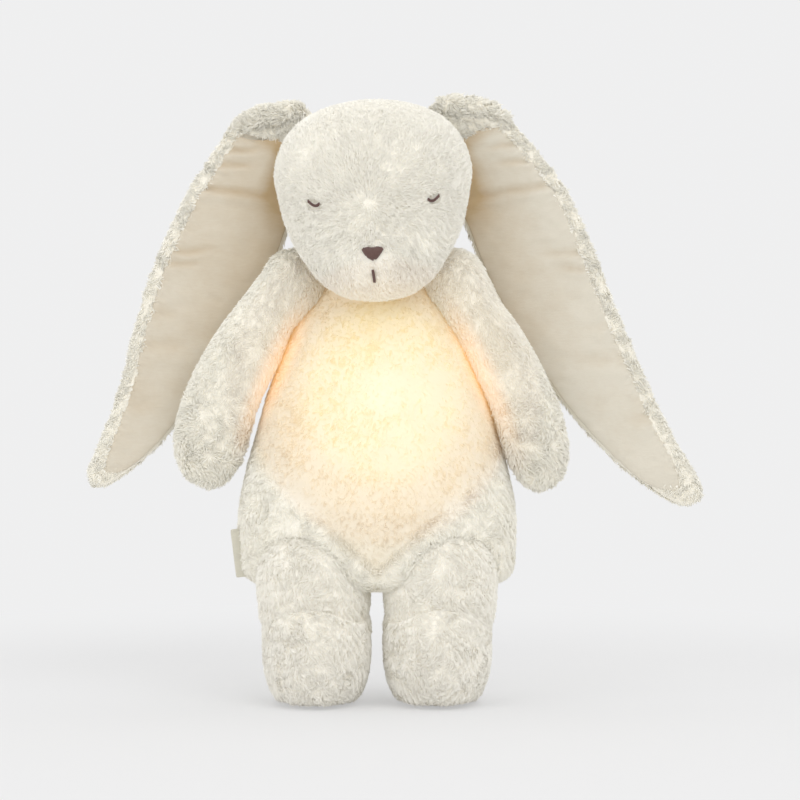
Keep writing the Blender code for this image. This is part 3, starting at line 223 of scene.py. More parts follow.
def tube_patch(path: Array, radius: Array, sides: int = 6) -> Patch:
    """A closed tube along a path.

    Rings stand square to the path, on two directions found from its slope and a fixed depth axis,
    and each ring's radius is its own.

    Args:
        path: Points of the line.
        radius: The tube's radius at each point.
        sides: Corners of a ring.
    """
    along = unit(np.gradient(path, axis=0))
    side = unit(np.cross(along, np.array([0.03, 1.0, 0.02])))
    lift = np.cross(side, along)
    angle = np.linspace(0.0, 2.0 * math.pi, sides, endpoint=False)
    ring = np.cos(angle)[:, None] * side[:, None, :] + np.sin(angle)[:, None] * lift[:, None, :]
    rings = path[:, None, :] + ring * radius[:, None, None]
    ends = along[[0, -1]] * radius[[0, -1], None] * 0.6
    return ring_patch(rings, path[0] - ends[0], path[-1] + ends[1])


class Spine:
    """Rows (x, z, half width, y, half depth) read off a smooth curve through a table of rows."""

    def __init__(self, rows: list[tuple[float, ...]] | Array) -> None:
        """Lay knots by the rows' distances and slopes by their neighbours.

        Args:
            rows: The table, whose first and last rows are poles of no width.
        """
        self.rows = np.array(rows, dtype=float)
        flip = np.array([1.0, 1.0, -1.0, 1.0, -1.0])
        run = np.vstack([self.rows[1] * flip, self.rows, self.rows[-2] * flip])
        knots = np.concatenate([[0.0], np.cumsum(np.linalg.norm(np.diff(run, axis=0), axis=1))])
        self.slopes = (run[2:] - run[:-2]) / (knots[2:] - knots[:-2])[:, None]
        self.knots = knots[1:-1]

    def at(self, v: Array) -> Array:
        """Cubic Hermite rows at shares v of the way along."""
        at = self.knots[0] + (self.knots[-1] - self.knots[0]) * np.clip(v, 0.0, 1.0)
        low = np.clip(np.searchsorted(self.knots, at, side="right") - 1, 0, len(self.knots) - 2)
        span = (self.knots[low + 1] - self.knots[low])[:, None]
        t = (at - self.knots[low])[:, None] / span
        start = (2 * t**3 - 3 * t**2 + 1) * self.rows[low] + (t**3 - 2 * t**2 + t) * span * self.slopes[low]
        end = (3 * t**2 - 2 * t**3) * self.rows[low + 1] + (t**3 - t**2) * span * self.slopes[low + 1]
        return start + end


def same(points: Array) -> Array:
    """The points as they are."""
    return points


@dataclass
class Form:
    """A stuffed form: rings of a superellipse round a spine in the XZ plane.

    A ring's point stands across the spine by the half width times the angle's cosine and along Y
    by the half depth times its sine, each raised to the power two over the squareness.
    """

    rows: list[tuple[float, ...]] | Array
    squareness: float = 2.0
    shape: Mover = same
    place: Mover = same

    def __post_init__(self) -> None:
        """Make the spine."""
        self.spine = Spine(self.rows)

    def point(self, u: Array, v: Array) -> Array:
        """Surface points at shares u round and v along."""
        row = self.spine.at(v)
        step = 2e-4
        along = unit((self.spine.at(v + step) - self.spine.at(v - step))[:, :2])
        c, s = np.cos(2 * math.pi * u), np.sin(2 * math.pi * u)
        power = 2.0 / self.squareness
        side = np.sign(c) * np.abs(c) ** power * row[:, 2]
        deep = np.sign(s) * np.abs(s) ** power * row[:, 4]
        local = np.stack([row[:, 0] + along[:, 1] * side, row[:, 3] + deep, row[:, 1] - along[:, 0] * side],
                         axis=1)
        return self.place(self.shape(local))

    def normal(self, u: Array, v: Array) -> Array:
        """Outward directions: the cross product of the two surface slopes."""
        v = np.clip(v, 0.004, 0.996)
        step = 1e-3
        round_it = self.point(u + step, v) - self.point(u - step, v)
        along = self.point(u, v + step) - self.point(u, v - step)
        normal = unit(np.cross(round_it, along))
        away = self.point(u, v) - self.place(self.shape(self.core(np.clip(v, 0.15, 0.85))))
        return normal * np.sign(np.einsum("ij,ij->i", normal, away) + 1e-12)[:, None]

    def core(self, v: Array) -> Array:
        """Points of the spine at shares v."""
        row = self.spine.at(v)
        return np.stack([row[:, 0], row[:, 3], row[:, 1]], axis=1)

    def skin(self, around: int, along: int, relief: Share, carve: Mover = same) -> Patch:
        """The form's skin: each point moved along its normal by its relief, and then carved.

        Args:
            around: Points in a ring.
            along: Number of rings, crowded towards the poles.
            relief: Gives the distance outwards from points and normals.
            carve: Moves the finished points.
        """
        even = (np.arange(along) + 0.7) / (along + 0.4)
        v = even + 0.75 * (0.5 - 0.5 * np.cos(math.pi * even) - even)
        u = np.arange(around) / around
        vv, uu = np.meshgrid(v, u, indexing="ij")
        points = self.point(uu.ravel(), vv.ravel())
        normals = self.normal(uu.ravel(), vv.ravel())
        points = points + normals * relief(points, normals)[:, None]
        rings = carve(points).reshape(along, around, 3)
        return ring_patch(rings, rings[0].mean(axis=0), rings[-1].mean(axis=0))


@dataclass(frozen=True)
class Pile:
    """How a plush pile grows.

    A tuft is a closed blade of four faces: two corners at its foot by the skin, one on its ridge
    and one at its tip. It lifts off the skin, leans along the comb's direction turned by noise,
    and its tip is drawn towards the middle of a chance clump.
    """

    length: float = 0.0038
    width: float = 0.00030
    density: float = 1.7e6
    lift: float = 0.42
    swirl: float = 0.75
    swirl_size: float = 0.011
    clump: float = 0.45
    clump_size: float = 0.0042
    seed: int = 1

    def grow(self, form: Form, comb: Mover, inset: float, share: Share) -> Patch:
        """Tufts over a form.

        Args:
            form: The surface they stand on.
            comb: Gives the direction that the pile is brushed in at each point.
            inset: How far under the form the skin lies.
            share: Gives each point's share of the full density and length, from its place and normal.
        """
        rng = np.random.default_rng(self.seed)
        cells = 90
        edge = np.linspace(0.0, 1.0, cells + 1)
        vv, uu = np.meshgrid(edge, edge, indexing="ij")
        grid = form.point(uu.ravel(), vv.ravel()).reshape(cells + 1, cells + 1, 3)
        across, down = grid[:-1, 1:] - grid[:-1, :-1], grid[1:, :-1] - grid[:-1, :-1]
        area = np.linalg.norm(np.cross(across, down), axis=2).ravel()
        number = int(self.density * area.sum())
        cell = rng.choice(len(area), size=number, p=area / area.sum())
        u = (cell % cells + rng.random(number)) / cells
        v = (cell // cells + rng.random(number)) / cells
        points, normals = form.point(u, v), form.normal(u, v)
        full = share(points, normals)
        kept = rng.random(number) < full
        points, normals, full = points[kept] - normals[kept] * inset, normals[kept], full[kept]
        return self.tufts(points, normals, comb(points), np.sqrt(full), rng)

    def tufts(self, points: Array, normals: Array, comb: Array, full: Array,
              rng: np.random.Generator) -> Patch:
        """Blades on a skin, all built at once.

        Args:
            points: Where they stand.
            normals: The skin's directions there.
            comb: The directions that the pile is brushed in.
            full: Shares of the full length.
            rng: The source of chance.

        Returns:
            The blades as one patch, marked by their height in the pile, which the plush turns from painted
            root shade to light tips, and by a random tint of their own.
        """
        number = len(points)
        swirl = noise_vector(points, self.swirl_size, self.seed + 10) * 1.6
        loose = rng.normal(0.0, 0.32, (number, 3))
        lean = unit(comb) + self.swirl * swirl + loose
        lean = unit(lean - normals * np.einsum("ij,ij->i", lean, normals)[:, None])
        side = np.cross(normals, lean)
        long = (self.length * (0.72 + 0.5 * rng.random(number)) * full)[:, None]
        bend = rng.normal(0.0, 0.20, number)[:, None]
        lift = self.lift * (0.75 + 0.5 * rng.random(number))[:, None]
        root = points - normals * 0.0007
        belly = points + normals * long * lift * 0.62 + lean * long * 0.34 + side * long * bend * 0.25
        tip = points + normals * long * lift + lean * long * 0.86 + side * long * bend
        skew = np.array([[0.66, 0.52, -0.54], [-0.74, 0.56, -0.37], [0.11, 0.65, 0.75]])
        warped = (tip + noise_vector(tip, self.clump_size * 2.5, self.seed + 30)
                  * self.clump_size) @ skew / self.clump_size
        cell = np.floor(warped)
        off_centre = noise_vector((cell + 0.37) * 3.1, 1.0, self.seed + 40) * 0.35
        pull = (cell + 0.5 + off_centre - warped) @ skew.T * self.clump_size * self.clump
        tip = tip + pull - normals * np.einsum("ij,ij->i", pull, normals)[:, None]
        axis = unit(tip - root)
        flat = unit(side - axis * np.einsum("ij,ij->i", side, axis)[:, None])
        thick = np.cross(axis, flat)
        wide = (self.width * (0.75 + 0.5 * rng.random(number)))[:, None]
        foot = root + (belly - root) * 0.35
        ridge = belly + (root - belly) * 0.10 + wide * thick * 0.45
        corners = np.stack([ridge, foot - wide * flat * 1.30, foot + wide * flat * 1.30, tip],
                           axis=1).reshape(-1, 3)
        base = np.arange(number)[:, None, None] * 4
        faces = np.array([[0, 1, 3], [1, 2, 3], [2, 0, 3], [0, 2, 1]])
        tone = np.repeat(0.6 * rng.normal(0.0, 0.5, number) + 0.5 * noise(points, 0.004, self.seed + 70), 4)
        # Height in the pile: the lower corners take the roots' painted shade.
        pile = np.tile([0.75, 0.62, 0.62, 1.0], number)
        return Patch(corners, np.zeros((0, 4), int), (base + faces).reshape(-1, 3), pile, tone)


# Materials


class Nodes:
    """A material's node tree with its shader, and short ways to add to it."""

    def __init__(self, name: str) -> None:
        """Make the material with a Principled shader."""
        self.made = bpy.data.materials.new(name)
        self.made.use_nodes = True
        self.tree = self.made.node_tree
        self.shader = self.tree.nodes["Principled BSDF"]

    def add(self, kind: str, inputs: dict[str | int, object] | None = None,
            **settings: object) -> bpy.types.Node:
        """Add a node, set its properties, and give each input a value or a link."""
        node = self.tree.nodes.new("ShaderNode" + kind)
        for key, value in settings.items():
            setattr(node, key, value)
        for key, value in (inputs or {}).items():
            self.put(node.inputs[key], value)
        return node

    def put(self, socket: bpy.types.NodeSocket, value: object) -> None:
        """Link a socket to an input, or give the input a value."""
        if isinstance(value, bpy.types.NodeSocket):
            self.tree.links.new(value, socket)
        else:
            socket.default_value = value

    def vector(self, operation: str, a: object, b: object = (0.0, 0.0, 0.0)) -> bpy.types.NodeSocket:
        """One step of arithmetic on vectors."""
        return self.add("VectorMath", {0: a, 1: b}, operation=operation).outputs[0]

    def length(self, a: object) -> bpy.types.NodeSocket:
        """A vector's length."""
        return self.add("VectorMath", {0: a}, operation="LENGTH").outputs["Value"]

    def smooth(self, value: object, low: float, high: float, start: float,
               end: float) -> bpy.types.NodeSocket:
        """From start to end by an eased share while the value goes from low to high."""
        marks = {"Value": value, "From Min": low, "From Max": high, "To Min": start, "To Max": end}
        return self.add("MapRange", marks, interpolation_type="SMOOTHSTEP").outputs[0]

    def shade(self, name: str) -> bpy.types.NodeSocket:
        """One of the mesh's own shades."""
        return self.add("Attribute", attribute_name=name).outputs["Fac"]

    def stretched(self, scale: Point, turn: Point = (0.0, 0.0, 0.0)) -> bpy.types.NodeSocket:
        """Object coordinates turned and stretched."""
        return self.add("Mapping", {"Vector": self.place(), "Rotation": turn, "Scale": scale}).outputs[0]

    def math(self, operation: str, a: object, b: object = 0.0, clamp: bool = False) -> bpy.types.NodeSocket:
        """One step of arithmetic on sockets or numbers."""
        return self.add("Math", {0: a, 1: b}, operation=operation, use_clamp=clamp).outputs[0]

    def mix(self, share: object, a: object, b: object) -> bpy.types.NodeSocket:
        """Colour a turned into colour b by a share."""
        node = self.tree.nodes.new("ShaderNodeMix")
        node.data_type = "RGBA"
        for key, value in ((0, share), (6, a), (7, b)):
            self.put(node.inputs[key], value)
        return node.outputs[2]

    def place(self) -> bpy.types.NodeSocket:
        """Object coordinates."""
        return self.add("TexCoord").outputs["Object"]

    def grain(self, scale: float, detail: float = 3.0, rough: float = 0.55,
              where: object = None) -> bpy.types.NodeSocket:
        """Noise of a scale in features a metre."""
        where = self.place() if where is None else where
        return self.add("TexNoise", {"Vector": where, "Scale": scale, "Detail": detail,
                                     "Roughness": rough}).outputs["Fac"]

    def bump(self, height: object, strength: float, depth: float) -> None:
        """Feed a height into the shader's normal."""
        node = self.add("Bump", {"Height": height, "Strength": strength, "Distance": depth})
        self.tree.links.new(node.outputs[0], self.shader.inputs["Normal"])

    def finish(self, colour: object, roughness: object, sheen: float = 0.0, metallic: float = 0.0) -> None:
        """Give the shader its colour and its plain values."""
        plain = {"Sheen Weight": sheen, "Sheen Roughness": 0.6, "Metallic": metallic}
        for key, value in ({"Base Color": colour, "Roughness": roughness} | plain).items():
            self.put(self.shader.inputs[key], value)


def rgba(colour: Point, level: float = 1.0) -> Row:
    """A colour times a level, with full alpha."""
    return (colour[0] * level, colour[1] * level, colour[2] * level, 1.0)


@dataclass(frozen=True)
class Glow:
    """The light of the unit as it shows through the plush, painted as emission: rings of colour round its
    middle.

    The distance is measured in an ellipsoid round the middle, and the colours follow it outwards; past the
    outer ring a faint even emission stays, painted fill light. A slanted ellipsoid at each side holds the
    deeper light of the crevice between belly and arm, painted light bounced between the two.
    """

    middle: Point = (-0.0060, -0.030, 0.165)
    size: Point = (0.074, 0.110, 0.082)
    stops: tuple[tuple[float, Point], ...] = (
        (0.00, (0.24, 0.22, 0.14)),
        (0.22, (0.20, 0.155, 0.045)),
        (0.45, (0.17, 0.13, 0.028)),
        (0.70, (0.095, 0.055, 0.012)),
        (0.90, (0.040, 0.018, 0.004)),
        # Past the outer ring the plush keeps this faint even emission: painted fill light.
        (1.00, (0.022, 0.020, 0.015)),
    )
    # Painted light bounced between belly and arm in the crevice.
    crevice: Point = (0.0550, -0.017, 0.177)
    crevice_size: Point = (0.012, 0.022, 0.050)
    crevice_slant: float = 0.43
    crevice_colour: Point = (0.43, 0.185, 0.035)
    level: float = 1.0

    def light(self, nodes: Nodes) -> None:
        """Link the rings of colour to the shader's emission."""
        away = nodes.length(nodes.vector("DIVIDE", nodes.vector("SUBTRACT", nodes.place(), self.middle),
                                         self.size))
        ramp = nodes.add("ValToRGB", {"Fac": away})
        ramp.color_ramp.interpolation = "EASE"
        marks = ramp.color_ramp.elements
        while len(marks) < len(self.stops):
            marks.new(0.5)
        for mark, (at, colour) in zip(marks, self.stops):
            mark.position = at
            mark.color = rgba(colour)
        parts = nodes.add("SeparateXYZ", {0: nodes.place()})
        out = nodes.math("ABSOLUTE", nodes.math("SUBTRACT", parts.outputs["X"], MIDDLE))
        above = nodes.math("SUBTRACT", parts.outputs["Z"], self.crevice[2])
        out = nodes.math("ADD", out, nodes.math("MULTIPLY", above, self.crevice_slant))
        folded = nodes.add("CombineXYZ", {0: out, 1: parts.outputs["Y"], 2: parts.outputs["Z"]}).outputs[0]
        beside = nodes.length(nodes.vector("DIVIDE", nodes.vector("SUBTRACT", folded, self.crevice),
                                           self.crevice_size))
        near = nodes.smooth(beside, 0.0, 1.0, 1.0, 0.0)
        colour = nodes.mix(near, ramp.outputs["Color"], rgba(self.crevice_colour))
        nodes.tree.links.new(colour, nodes.shader.inputs["Emission Color"])
        nodes.shader.inputs["Emission Strength"].default_value = self.level


@dataclass(frozen=True)
class Plush:
    """Cream plush: darker, warmer roots that are painted shade deep in the pile, light tips, and small
    changes from tuft to tuft.

    Where a piece has a belly attribute, its share turns the cream into the belly's warmer colour.
    """

    tip: Point = (0.955, 0.934, 0.860)
    # Roots darker and warmer than the tips: painted shade deep in the pile.
    root: Point = (0.935, 0.893, 0.785)
    belly: Point | None = None
    glow: Glow | None = None

    def material(self, name: str) -> bpy.types.Material:
        """Roots to tips by the pile shade, with painted shade in the darker roots, times one plus a little of
        each tuft's random tint and of noise.
        """
        nodes = Nodes(name)
        base = nodes.mix(nodes.shade("pile"), rgba(self.root), rgba(self.tip))
        if self.belly is not None:
            base = nodes.mix(nodes.shade("belly"), base, rgba(self.belly))
        cloud = nodes.math("SUBTRACT", nodes.grain(70.0, 2.0), 0.5)
        tone = nodes.math("MULTIPLY", nodes.shade("tone"), 0.045)
        shade = nodes.math("ADD", tone, nodes.math("MULTIPLY", cloud, 0.06))
        value = nodes.math("ADD", shade, 1.0)
        hue = nodes.add("HueSaturation", {"Value": value, "Color": base}).outputs["Color"]
        nodes.finish(hue, 0.95, sheen=0.25)
        fine = nodes.grain(1500.0, 2.0)
        nodes.bump(fine, 0.35, 0.0004)
        if self.glow is not None:
            self.glow.light(nodes)
        return nodes.made


@dataclass(frozen=True)
class Velvet:
    """Beige velvet: fine upright nap, a soft sheen, cloudy streaks where it was brushed, and painted shade
    from the piece's own shade values.
    """

    light: Point = (0.745, 0.700, 0.595)
    # The darker beige, reached by painted shade and by the cloudy streaks.
    deep: Point = (0.500, 0.360, 0.195)

    def material(self, name: str) -> bpy.types.Material:
        """Two beiges mixed by the piece's painted shade with cloudy and streaky noise."""
        nodes = Nodes(name)
        where = nodes.place()
        cloud = nodes.math("SUBTRACT", nodes.grain(45.0, 3.0, 0.6, where), 0.5)
        streak = nodes.math("SUBTRACT", nodes.grain(260.0, 3.0, 0.7, nodes.stretched((1.0, 1.0, 3.4))), 0.5)
        both = nodes.math("ADD", nodes.math("MULTIPLY", cloud, 0.5), nodes.math("MULTIPLY", streak, 0.25))
        # The piece's painted shade, plus the cloud and streaks.
        amount = nodes.math("ADD", nodes.shade("tone"), both, clamp=True)
        base = nodes.mix(amount, rgba(self.light), rgba(self.deep))
        nap = nodes.grain(2600.0, 2.0, 0.6, where)
        base = nodes.mix(nodes.math("MULTIPLY", nap, 0.14), base, rgba(self.deep, 0.9))
        nodes.finish(base, 0.9, sheen=0.35)
        nodes.bump(nodes.math("ADD", nodes.math("MULTIPLY", nap, 0.6), streak), 0.3, 0.0004)
        return nodes.made


@dataclass(frozen=True)
class Thread:
    """Embroidery thread: a satin brown with fine twist lines."""

    colour: Point = (0.112, 0.056, 0.046)

    def material(self, name: str) -> bpy.types.Material:
        """The colour varied by stretched noise, with the same noise as bump."""
        nodes = Nodes(name)
        twist = nodes.grain(3500.0, 2.0, 0.5, nodes.stretched((1.0, 1.0, 0.3), (0.0, 0.5, 0.0)))
        nodes.finish(nodes.mix(twist, rgba(self.colour, 0.75), rgba(self.colour, 1.5)), 0.6, sheen=0.12)
        nodes.bump(twist, 0.4, 0.0002)
        return nodes.made


@dataclass(frozen=True)
class Woven:
    """A woven cloth: warp and weft as two sets of waves over each other, and slubs."""

    colour: Point
    threads: float = 1700.0
    pile: float = 0.0

    def material(self, name: str) -> bpy.types.Material:
        """Warp waves along X and weft waves along Z shade the colour and raise the surface."""
        nodes = Nodes(name)
        where = nodes.place()
        waves = {"Vector": where, "Scale": self.threads / 6.3, "Distortion": 0.6, "Detail": 1.0}
        warp, weft = (nodes.add("TexWave", waves, bands_direction=axis).outputs["Fac"] for axis in "XZ")
        weave = nodes.math("MAXIMUM", warp, weft)
        slub = nodes.grain(240.0, 3.0, 0.6, where)
        shade = nodes.math("ADD", nodes.math("MULTIPLY", weave, 0.5), nodes.math("MULTIPLY", slub, 0.5),
                           clamp=True)
        nodes.finish(nodes.mix(shade, rgba(self.colour, 0.78), rgba(self.colour, 1.08)), 0.9, sheen=0.2)
        fuzz = nodes.math("MULTIPLY", nodes.grain(3000.0, 2.0, 0.7, where), self.pile)
        nodes.bump(nodes.math("ADD", weave, fuzz), 0.5, 0.0003)
        return nodes.made


@dataclass(frozen=True)
class Moulded:
    """Moulded plastic or rubber: a fine spark-eroded grain and faint flow marks."""

    colour: Point
    roughness: float = 0.45
    grain: float = 2200.0
    depth: float = 0.00008

    def material(self, name: str) -> bpy.types.Material:
        """Noise at two scales shades the colour, the roughness and the bump."""
        nodes = Nodes(name)
        fine = nodes.grain(self.grain, 2.0)
        flow = nodes.grain(60.0, 2.0)
        rough = nodes.math("ADD", nodes.math("MULTIPLY", fine, 0.14), self.roughness - 0.07)
        nodes.finish(nodes.mix(flow, rgba(self.colour, 0.93), rgba(self.colour, 1.04)), rough)
        nodes.bump(fine, 0.35, self.depth)
        return nodes.made


@dataclass(frozen=True)
class Board:
    """A circuit board: green mask with fine copper runs showing under it and pale solder spots."""

    mask: Point = (0.02, 0.15, 0.06)
    run: Point = (0.05, 0.26, 0.11)
    tin: Point = (0.62, 0.63, 0.60)

    def material(self, name: str) -> bpy.types.Material:
        """Thin bands of a Voronoi's edges are the runs, and the middles of small cells the solder."""
        nodes = Nodes(name)
        lines = {"feature": "DISTANCE_TO_EDGE", "distance": "CHEBYCHEV"}
        edge = nodes.add("TexVoronoi", {"Vector": nodes.place(), "Scale": 330.0},
                         **lines).outputs["Distance"]
        runs = nodes.math("LESS_THAN", edge, 0.09)
        dots = nodes.add("TexVoronoi", {"Vector": nodes.place(), "Scale": 420.0},
                         feature="F1").outputs["Distance"]
        spots = nodes.math("LESS_THAN", dots, 0.20)
        base = nodes.mix(spots, nodes.mix(runs, rgba(self.mask), rgba(self.run)), rgba(self.tin))
        nodes.finish(base, nodes.math("ADD", nodes.math("MULTIPLY", nodes.grain(900.0), 0.2), 0.25))
        nodes.bump(nodes.math("ADD", runs, spots), 0.4, 0.0001)
        return nodes.made


@dataclass(frozen=True)
class Metal:
    """Bare metal with fine turning marks and a few dull places."""

    colour: Point = (0.66, 0.66, 0.67)
    roughness: float = 0.30
    metallic: float = 1.0

    def material(self, name: str) -> bpy.types.Material:
        """Stretched noise varies the roughness and the bump, slow noise the colour."""
        nodes = Nodes(name)
        marks = nodes.grain(2400.0, 3.0, 0.6, nodes.stretched((1.0, 1.0, 0.12)))
        dull = nodes.grain(180.0, 3.0)
        rough = nodes.math("ADD", nodes.math("MULTIPLY", marks, 0.2), self.roughness - 0.06)
        nodes.finish(nodes.mix(dull, rgba(self.colour, 0.85), rgba(self.colour, 1.05)), rough,
                     metallic=self.metallic)
        nodes.bump(marks, 0.15, 0.00005)
        return nodes.made


# The toy's pieces


def dress(made: bpy.types.Object, finish: bpy.types.Material, body: str, slot: str,
          *nodes: str) -> bpy.types.Object:
    """Give a piece its material and body, and let it stand for its nodes."""
    made.data.materials.append(finish)
    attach(made, body)
    if nodes:
        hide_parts(*nodes)
    return made


def push_out(points: Array, centre: Point, radii: Point, target: Array) -> Array:
    """Press a round socket into a skin.

    A point inside the ellipsoid moves along the line to the target until it lies on the wall: in
    radii from the centre the point is q and the line d, and |q + t d| = 1 gives the larger t.

    Args:
        points: The skin's points.
        centre: The ellipsoid's middle.
        radii: Its three half lengths.
        target: The point that the skin gives way towards.
    """
    q = (points - np.array(centre)) / np.array(radii)
    line = np.array(target) - points
    d = line / np.array(radii)
    a, b, c = (d * d).sum(1), (q * d).sum(1), (q * q).sum(1) - 1.0
    t = (-b + np.sqrt(np.maximum(b * b - a * c, 0.0))) / a
    return np.where((c < 0.0)[:, None], points + line * np.clip(t, 0.0, 0.97)[:, None], points)


def within(points: Array, centre: Point, radii: Point, margin: float = 0.0) -> Array:
    """Squared distance from an ellipsoid's centre, in its radii less a margin: under one is inside."""
    return (((points - np.array(centre)) / (np.array(radii) - margin)) ** 2).sum(1)


def brushed(x: float, y: float, z: float) -> Mover:
    """A comb that brushes the whole pile in one direction."""
    return lambda points: np.broadcast_to(np.array([x, y, z]), points.shape)


def even(points: Array, normals: Array) -> Array:
    """Full pile at every point."""
    return np.ones(len(points))


def still(points: Array, normals: Array) -> Array:
    """No relief at any point."""
    return np.zeros(len(points))


def lumps(points: Array, seed: int) -> Array:
    """Soft unevenness of the stuffing: two sizes of noise."""
    return 0.0005 * noise(points, 0.019, seed) + 0.00035 * noise(points, 0.0046, seed + 1)


INSET = 0.0010
SHOULDERS = {Side.LEFT: (MIDDLE + 0.041, -0.008, 0.224), Side.RIGHT: (MIDDLE - 0.044, -0.008, 0.224)}


@dataclass
class Torso:
    """The stuffed torso with its glowing belly, its sockets, its back recess and its seam."""

    floor: float = 0.060
    height: float = 0.177
    half_width: float = 0.0735
    half_depth: float = 0.047
    table: tuple[Row, ...] = (
        (0.000, 0.000, 0.000, 0.000), (0.008, 0.680, 0.000, 0.640), (0.023, 0.898, 0.000, 0.800),
        (0.057, 0.980, -0.020, 0.894), (0.113, 0.997, -0.020, 0.957), (0.226, 1.000, -0.020, 1.000),
        (0.339, 0.952, -0.016, 0.995), (0.452, 0.884, -0.016, 0.952), (0.565, 0.810, -0.005, 0.888),
        (0.678, 0.714, 0.010, 0.798), (0.791, 0.612, 0.027, 0.676), (0.870, 0.530, 0.043, 0.574),
        (0.938, 0.408, 0.064, 0.468), (0.983, 0.218, 0.040, 0.277), (1.000, 0.000, 0.030, 0.000),
    )
    hip: Point = (0.0335, -0.016, 0.070)
    hip_radii: Point = (0.0302, 0.0312, 0.0312)
    shoulders: dict[Side, Point] = field(default_factory=lambda: dict(SHOULDERS))
    shoulder_radius: float = 0.0170
    flap_top: float = 0.190
    flap_length: float = 0.086
    flap_half_width: float = 0.033
    recess_depth: float = 0.0061
    unit_height: float = 0.150
    bore_radius: float = 0.0290
    bore_floor: float = -0.0190

    def __post_init__(self) -> None:
        """Lay out the torso's form on the toy's middle plane."""
        rows = [(MIDDLE, self.floor + h * self.height, w * self.half_width, m * self.half_depth,
                 d * self.half_depth)
                for h, w, m, d in self.table]
        self.form = Form(rows)
        v = np.linspace(0.0, 1.0, 600)
        self.rows = self.form.spine.at(v)

    def hip_at(self, side: Side) -> Point:
        """The middle of a hip's socket."""
        return (MIDDLE + side.value * self.hip[0], self.hip[1], self.hip[2])

    def back(self, x: Array, z: Array) -> Array:
        """The back surface's Y over X and Z.

        It is the mid depth plus the half depth times the root of one less the squared share of the
        half width.
        """
        mid = np.interp(z, self.rows[:, 1], self.rows[:, 3])
        deep = np.interp(z, self.rows[:, 1], self.rows[:, 4])
        wide = np.interp(z, self.rows[:, 1], self.rows[:, 2])
        return mid + deep * np.sqrt(np.clip(1.0 - ((x - MIDDLE) / wide) ** 2, 0.02, 1.0))

    def flap_edge(self, x: Array, z: Array) -> Array:
        """Signed distance to the flap's rounded outline, less than nought inside it."""
        top, foot = self.flap_top, self.flap_top - self.flap_length
        middle = (top + foot) / 2
        corner = np.where(z > middle, 0.023, 0.010)
        qx = np.abs(x - MIDDLE) - (self.flap_half_width - corner)
        qz = np.abs(z - middle) - ((top - foot) / 2 - corner)
        return np.hypot(np.maximum(qx, 0), np.maximum(qz, 0)) + np.minimum(np.maximum(qx, qz), 0) - corner

    def carve(self, points: Array) -> Array:
        """Press in the hip and shoulder sockets, the flap's recess and the unit's bore."""
        core = np.array([MIDDLE, 0.0, 0.132])
        for side in Side:
            points = push_out(points, self.hip_at(side), self.hip_radii, core)
            points = push_out(points, self.shoulders[side], (self.shoulder_radius,) * 3, core)
        out = points.copy()
        x, z = points[:, 0], points[:, 2]
        behind = points[:, 1] > 0.012
        sunk = ease(0.0012, -0.0002, self.flap_edge(x, z) - 0.0006) * behind
        out[:, 1] -= self.recess_depth * sunk
        dx, dz = x - MIDDLE, z - self.unit_height
        r = np.maximum(np.hypot(dx, dz), 1e-6)
        wall = self.bore_radius
        band = 0.0012
        pulled = np.where(r < wall - band, r * wall / (wall - band), np.where(r < wall + band, wall, r))
        pulled = np.where(behind, pulled, r)
        out[:, 0] = MIDDLE + dx * pulled / r
        out[:, 2] = self.unit_height + dz * pulled / r
        deep = (r < wall) * behind
        out[:, 1] = out[:, 1] * (1 - deep) + self.bore_floor * deep
        return out

    def relief(self, points: Array, normals: Array) -> Array:
        """Lumps, less the inset, the seam down the chest's middle and the creases over the thighs."""
        front = points[:, 1] < 0
        seam = bell(points[:, 0] - MIDDLE + 0.002, 0.0018) * front * ease(0.17, 0.20, points[:, 2])
        out = np.abs(points[:, 0] - MIDDLE)
        crease = bell(self.over_thigh(points), 0.0018) * ease(0.036, 0.026, out) * front
        return lumps(points, 3) - 0.0005 - 0.0012 * seam - 0.0020 * crease

    def comb(self, points: Array) -> Array:
        """Down, and outwards from the middle line in front."""
        way = np.zeros_like(points)
        way[:, 0] = (points[:, 0] - MIDDLE) * 9.0
        way[:, 2] = -1.0
        return way

    def over_thigh(self, points: Array) -> Array:
        """Height over the V of the creases, which rises from the crotch to both sides."""
        return points[:, 2] - 0.0715 - 0.90 * np.abs(points[:, 0] - MIDDLE)

    def belly(self, points: Array) -> Array:
        """One on the smooth belly in front, down to the V, and nought on the back, flanks and hips."""
        out = np.abs(points[:, 0] - MIDDLE)
        ahead = ease(0.012, -0.012, points[:, 1])
        return ease(-0.008, 0.010, self.over_thigh(points)) * ease(0.074, 0.058, out) * ahead

    def holds(self, points: Array, margin: float) -> Array:
        """Which points are inside the torso's form or nearer to it than the margin, sockets left out."""
        x, y, z = points.T
        wide, mid, deep = (np.interp(z, self.rows[:, 1], self.rows[:, i]) + margin * (i != 3)
                           for i in (2, 3, 4))
        inside = ((x - MIDDLE) / wide) ** 2 + ((y - mid) / deep) ** 2 < 1.0
        inside = inside & (z > self.floor - margin) & (z < 0.2)
        for side in Side:
            inside &= within(points, self.hip_at(side), self.hip_radii, margin) > 1.0
        return inside

    def share(self, points: Array, normals: Array) -> Array:
        """Full pile but for the recess and the sockets."""
        x, y, z = points.T
        full = np.where((y > 0.012) & (self.flap_edge(x, z) < 0.0012), 0.0, 1.0)
        for side in Side:
            for place, radii in ((self.hip_at(side), self.hip_radii),
                                 (self.shoulders[side], (self.shoulder_radius,) * 3)):
                full = np.where(within(points, place, radii, 0.001) < 1.0, 0.0, full)
        return full

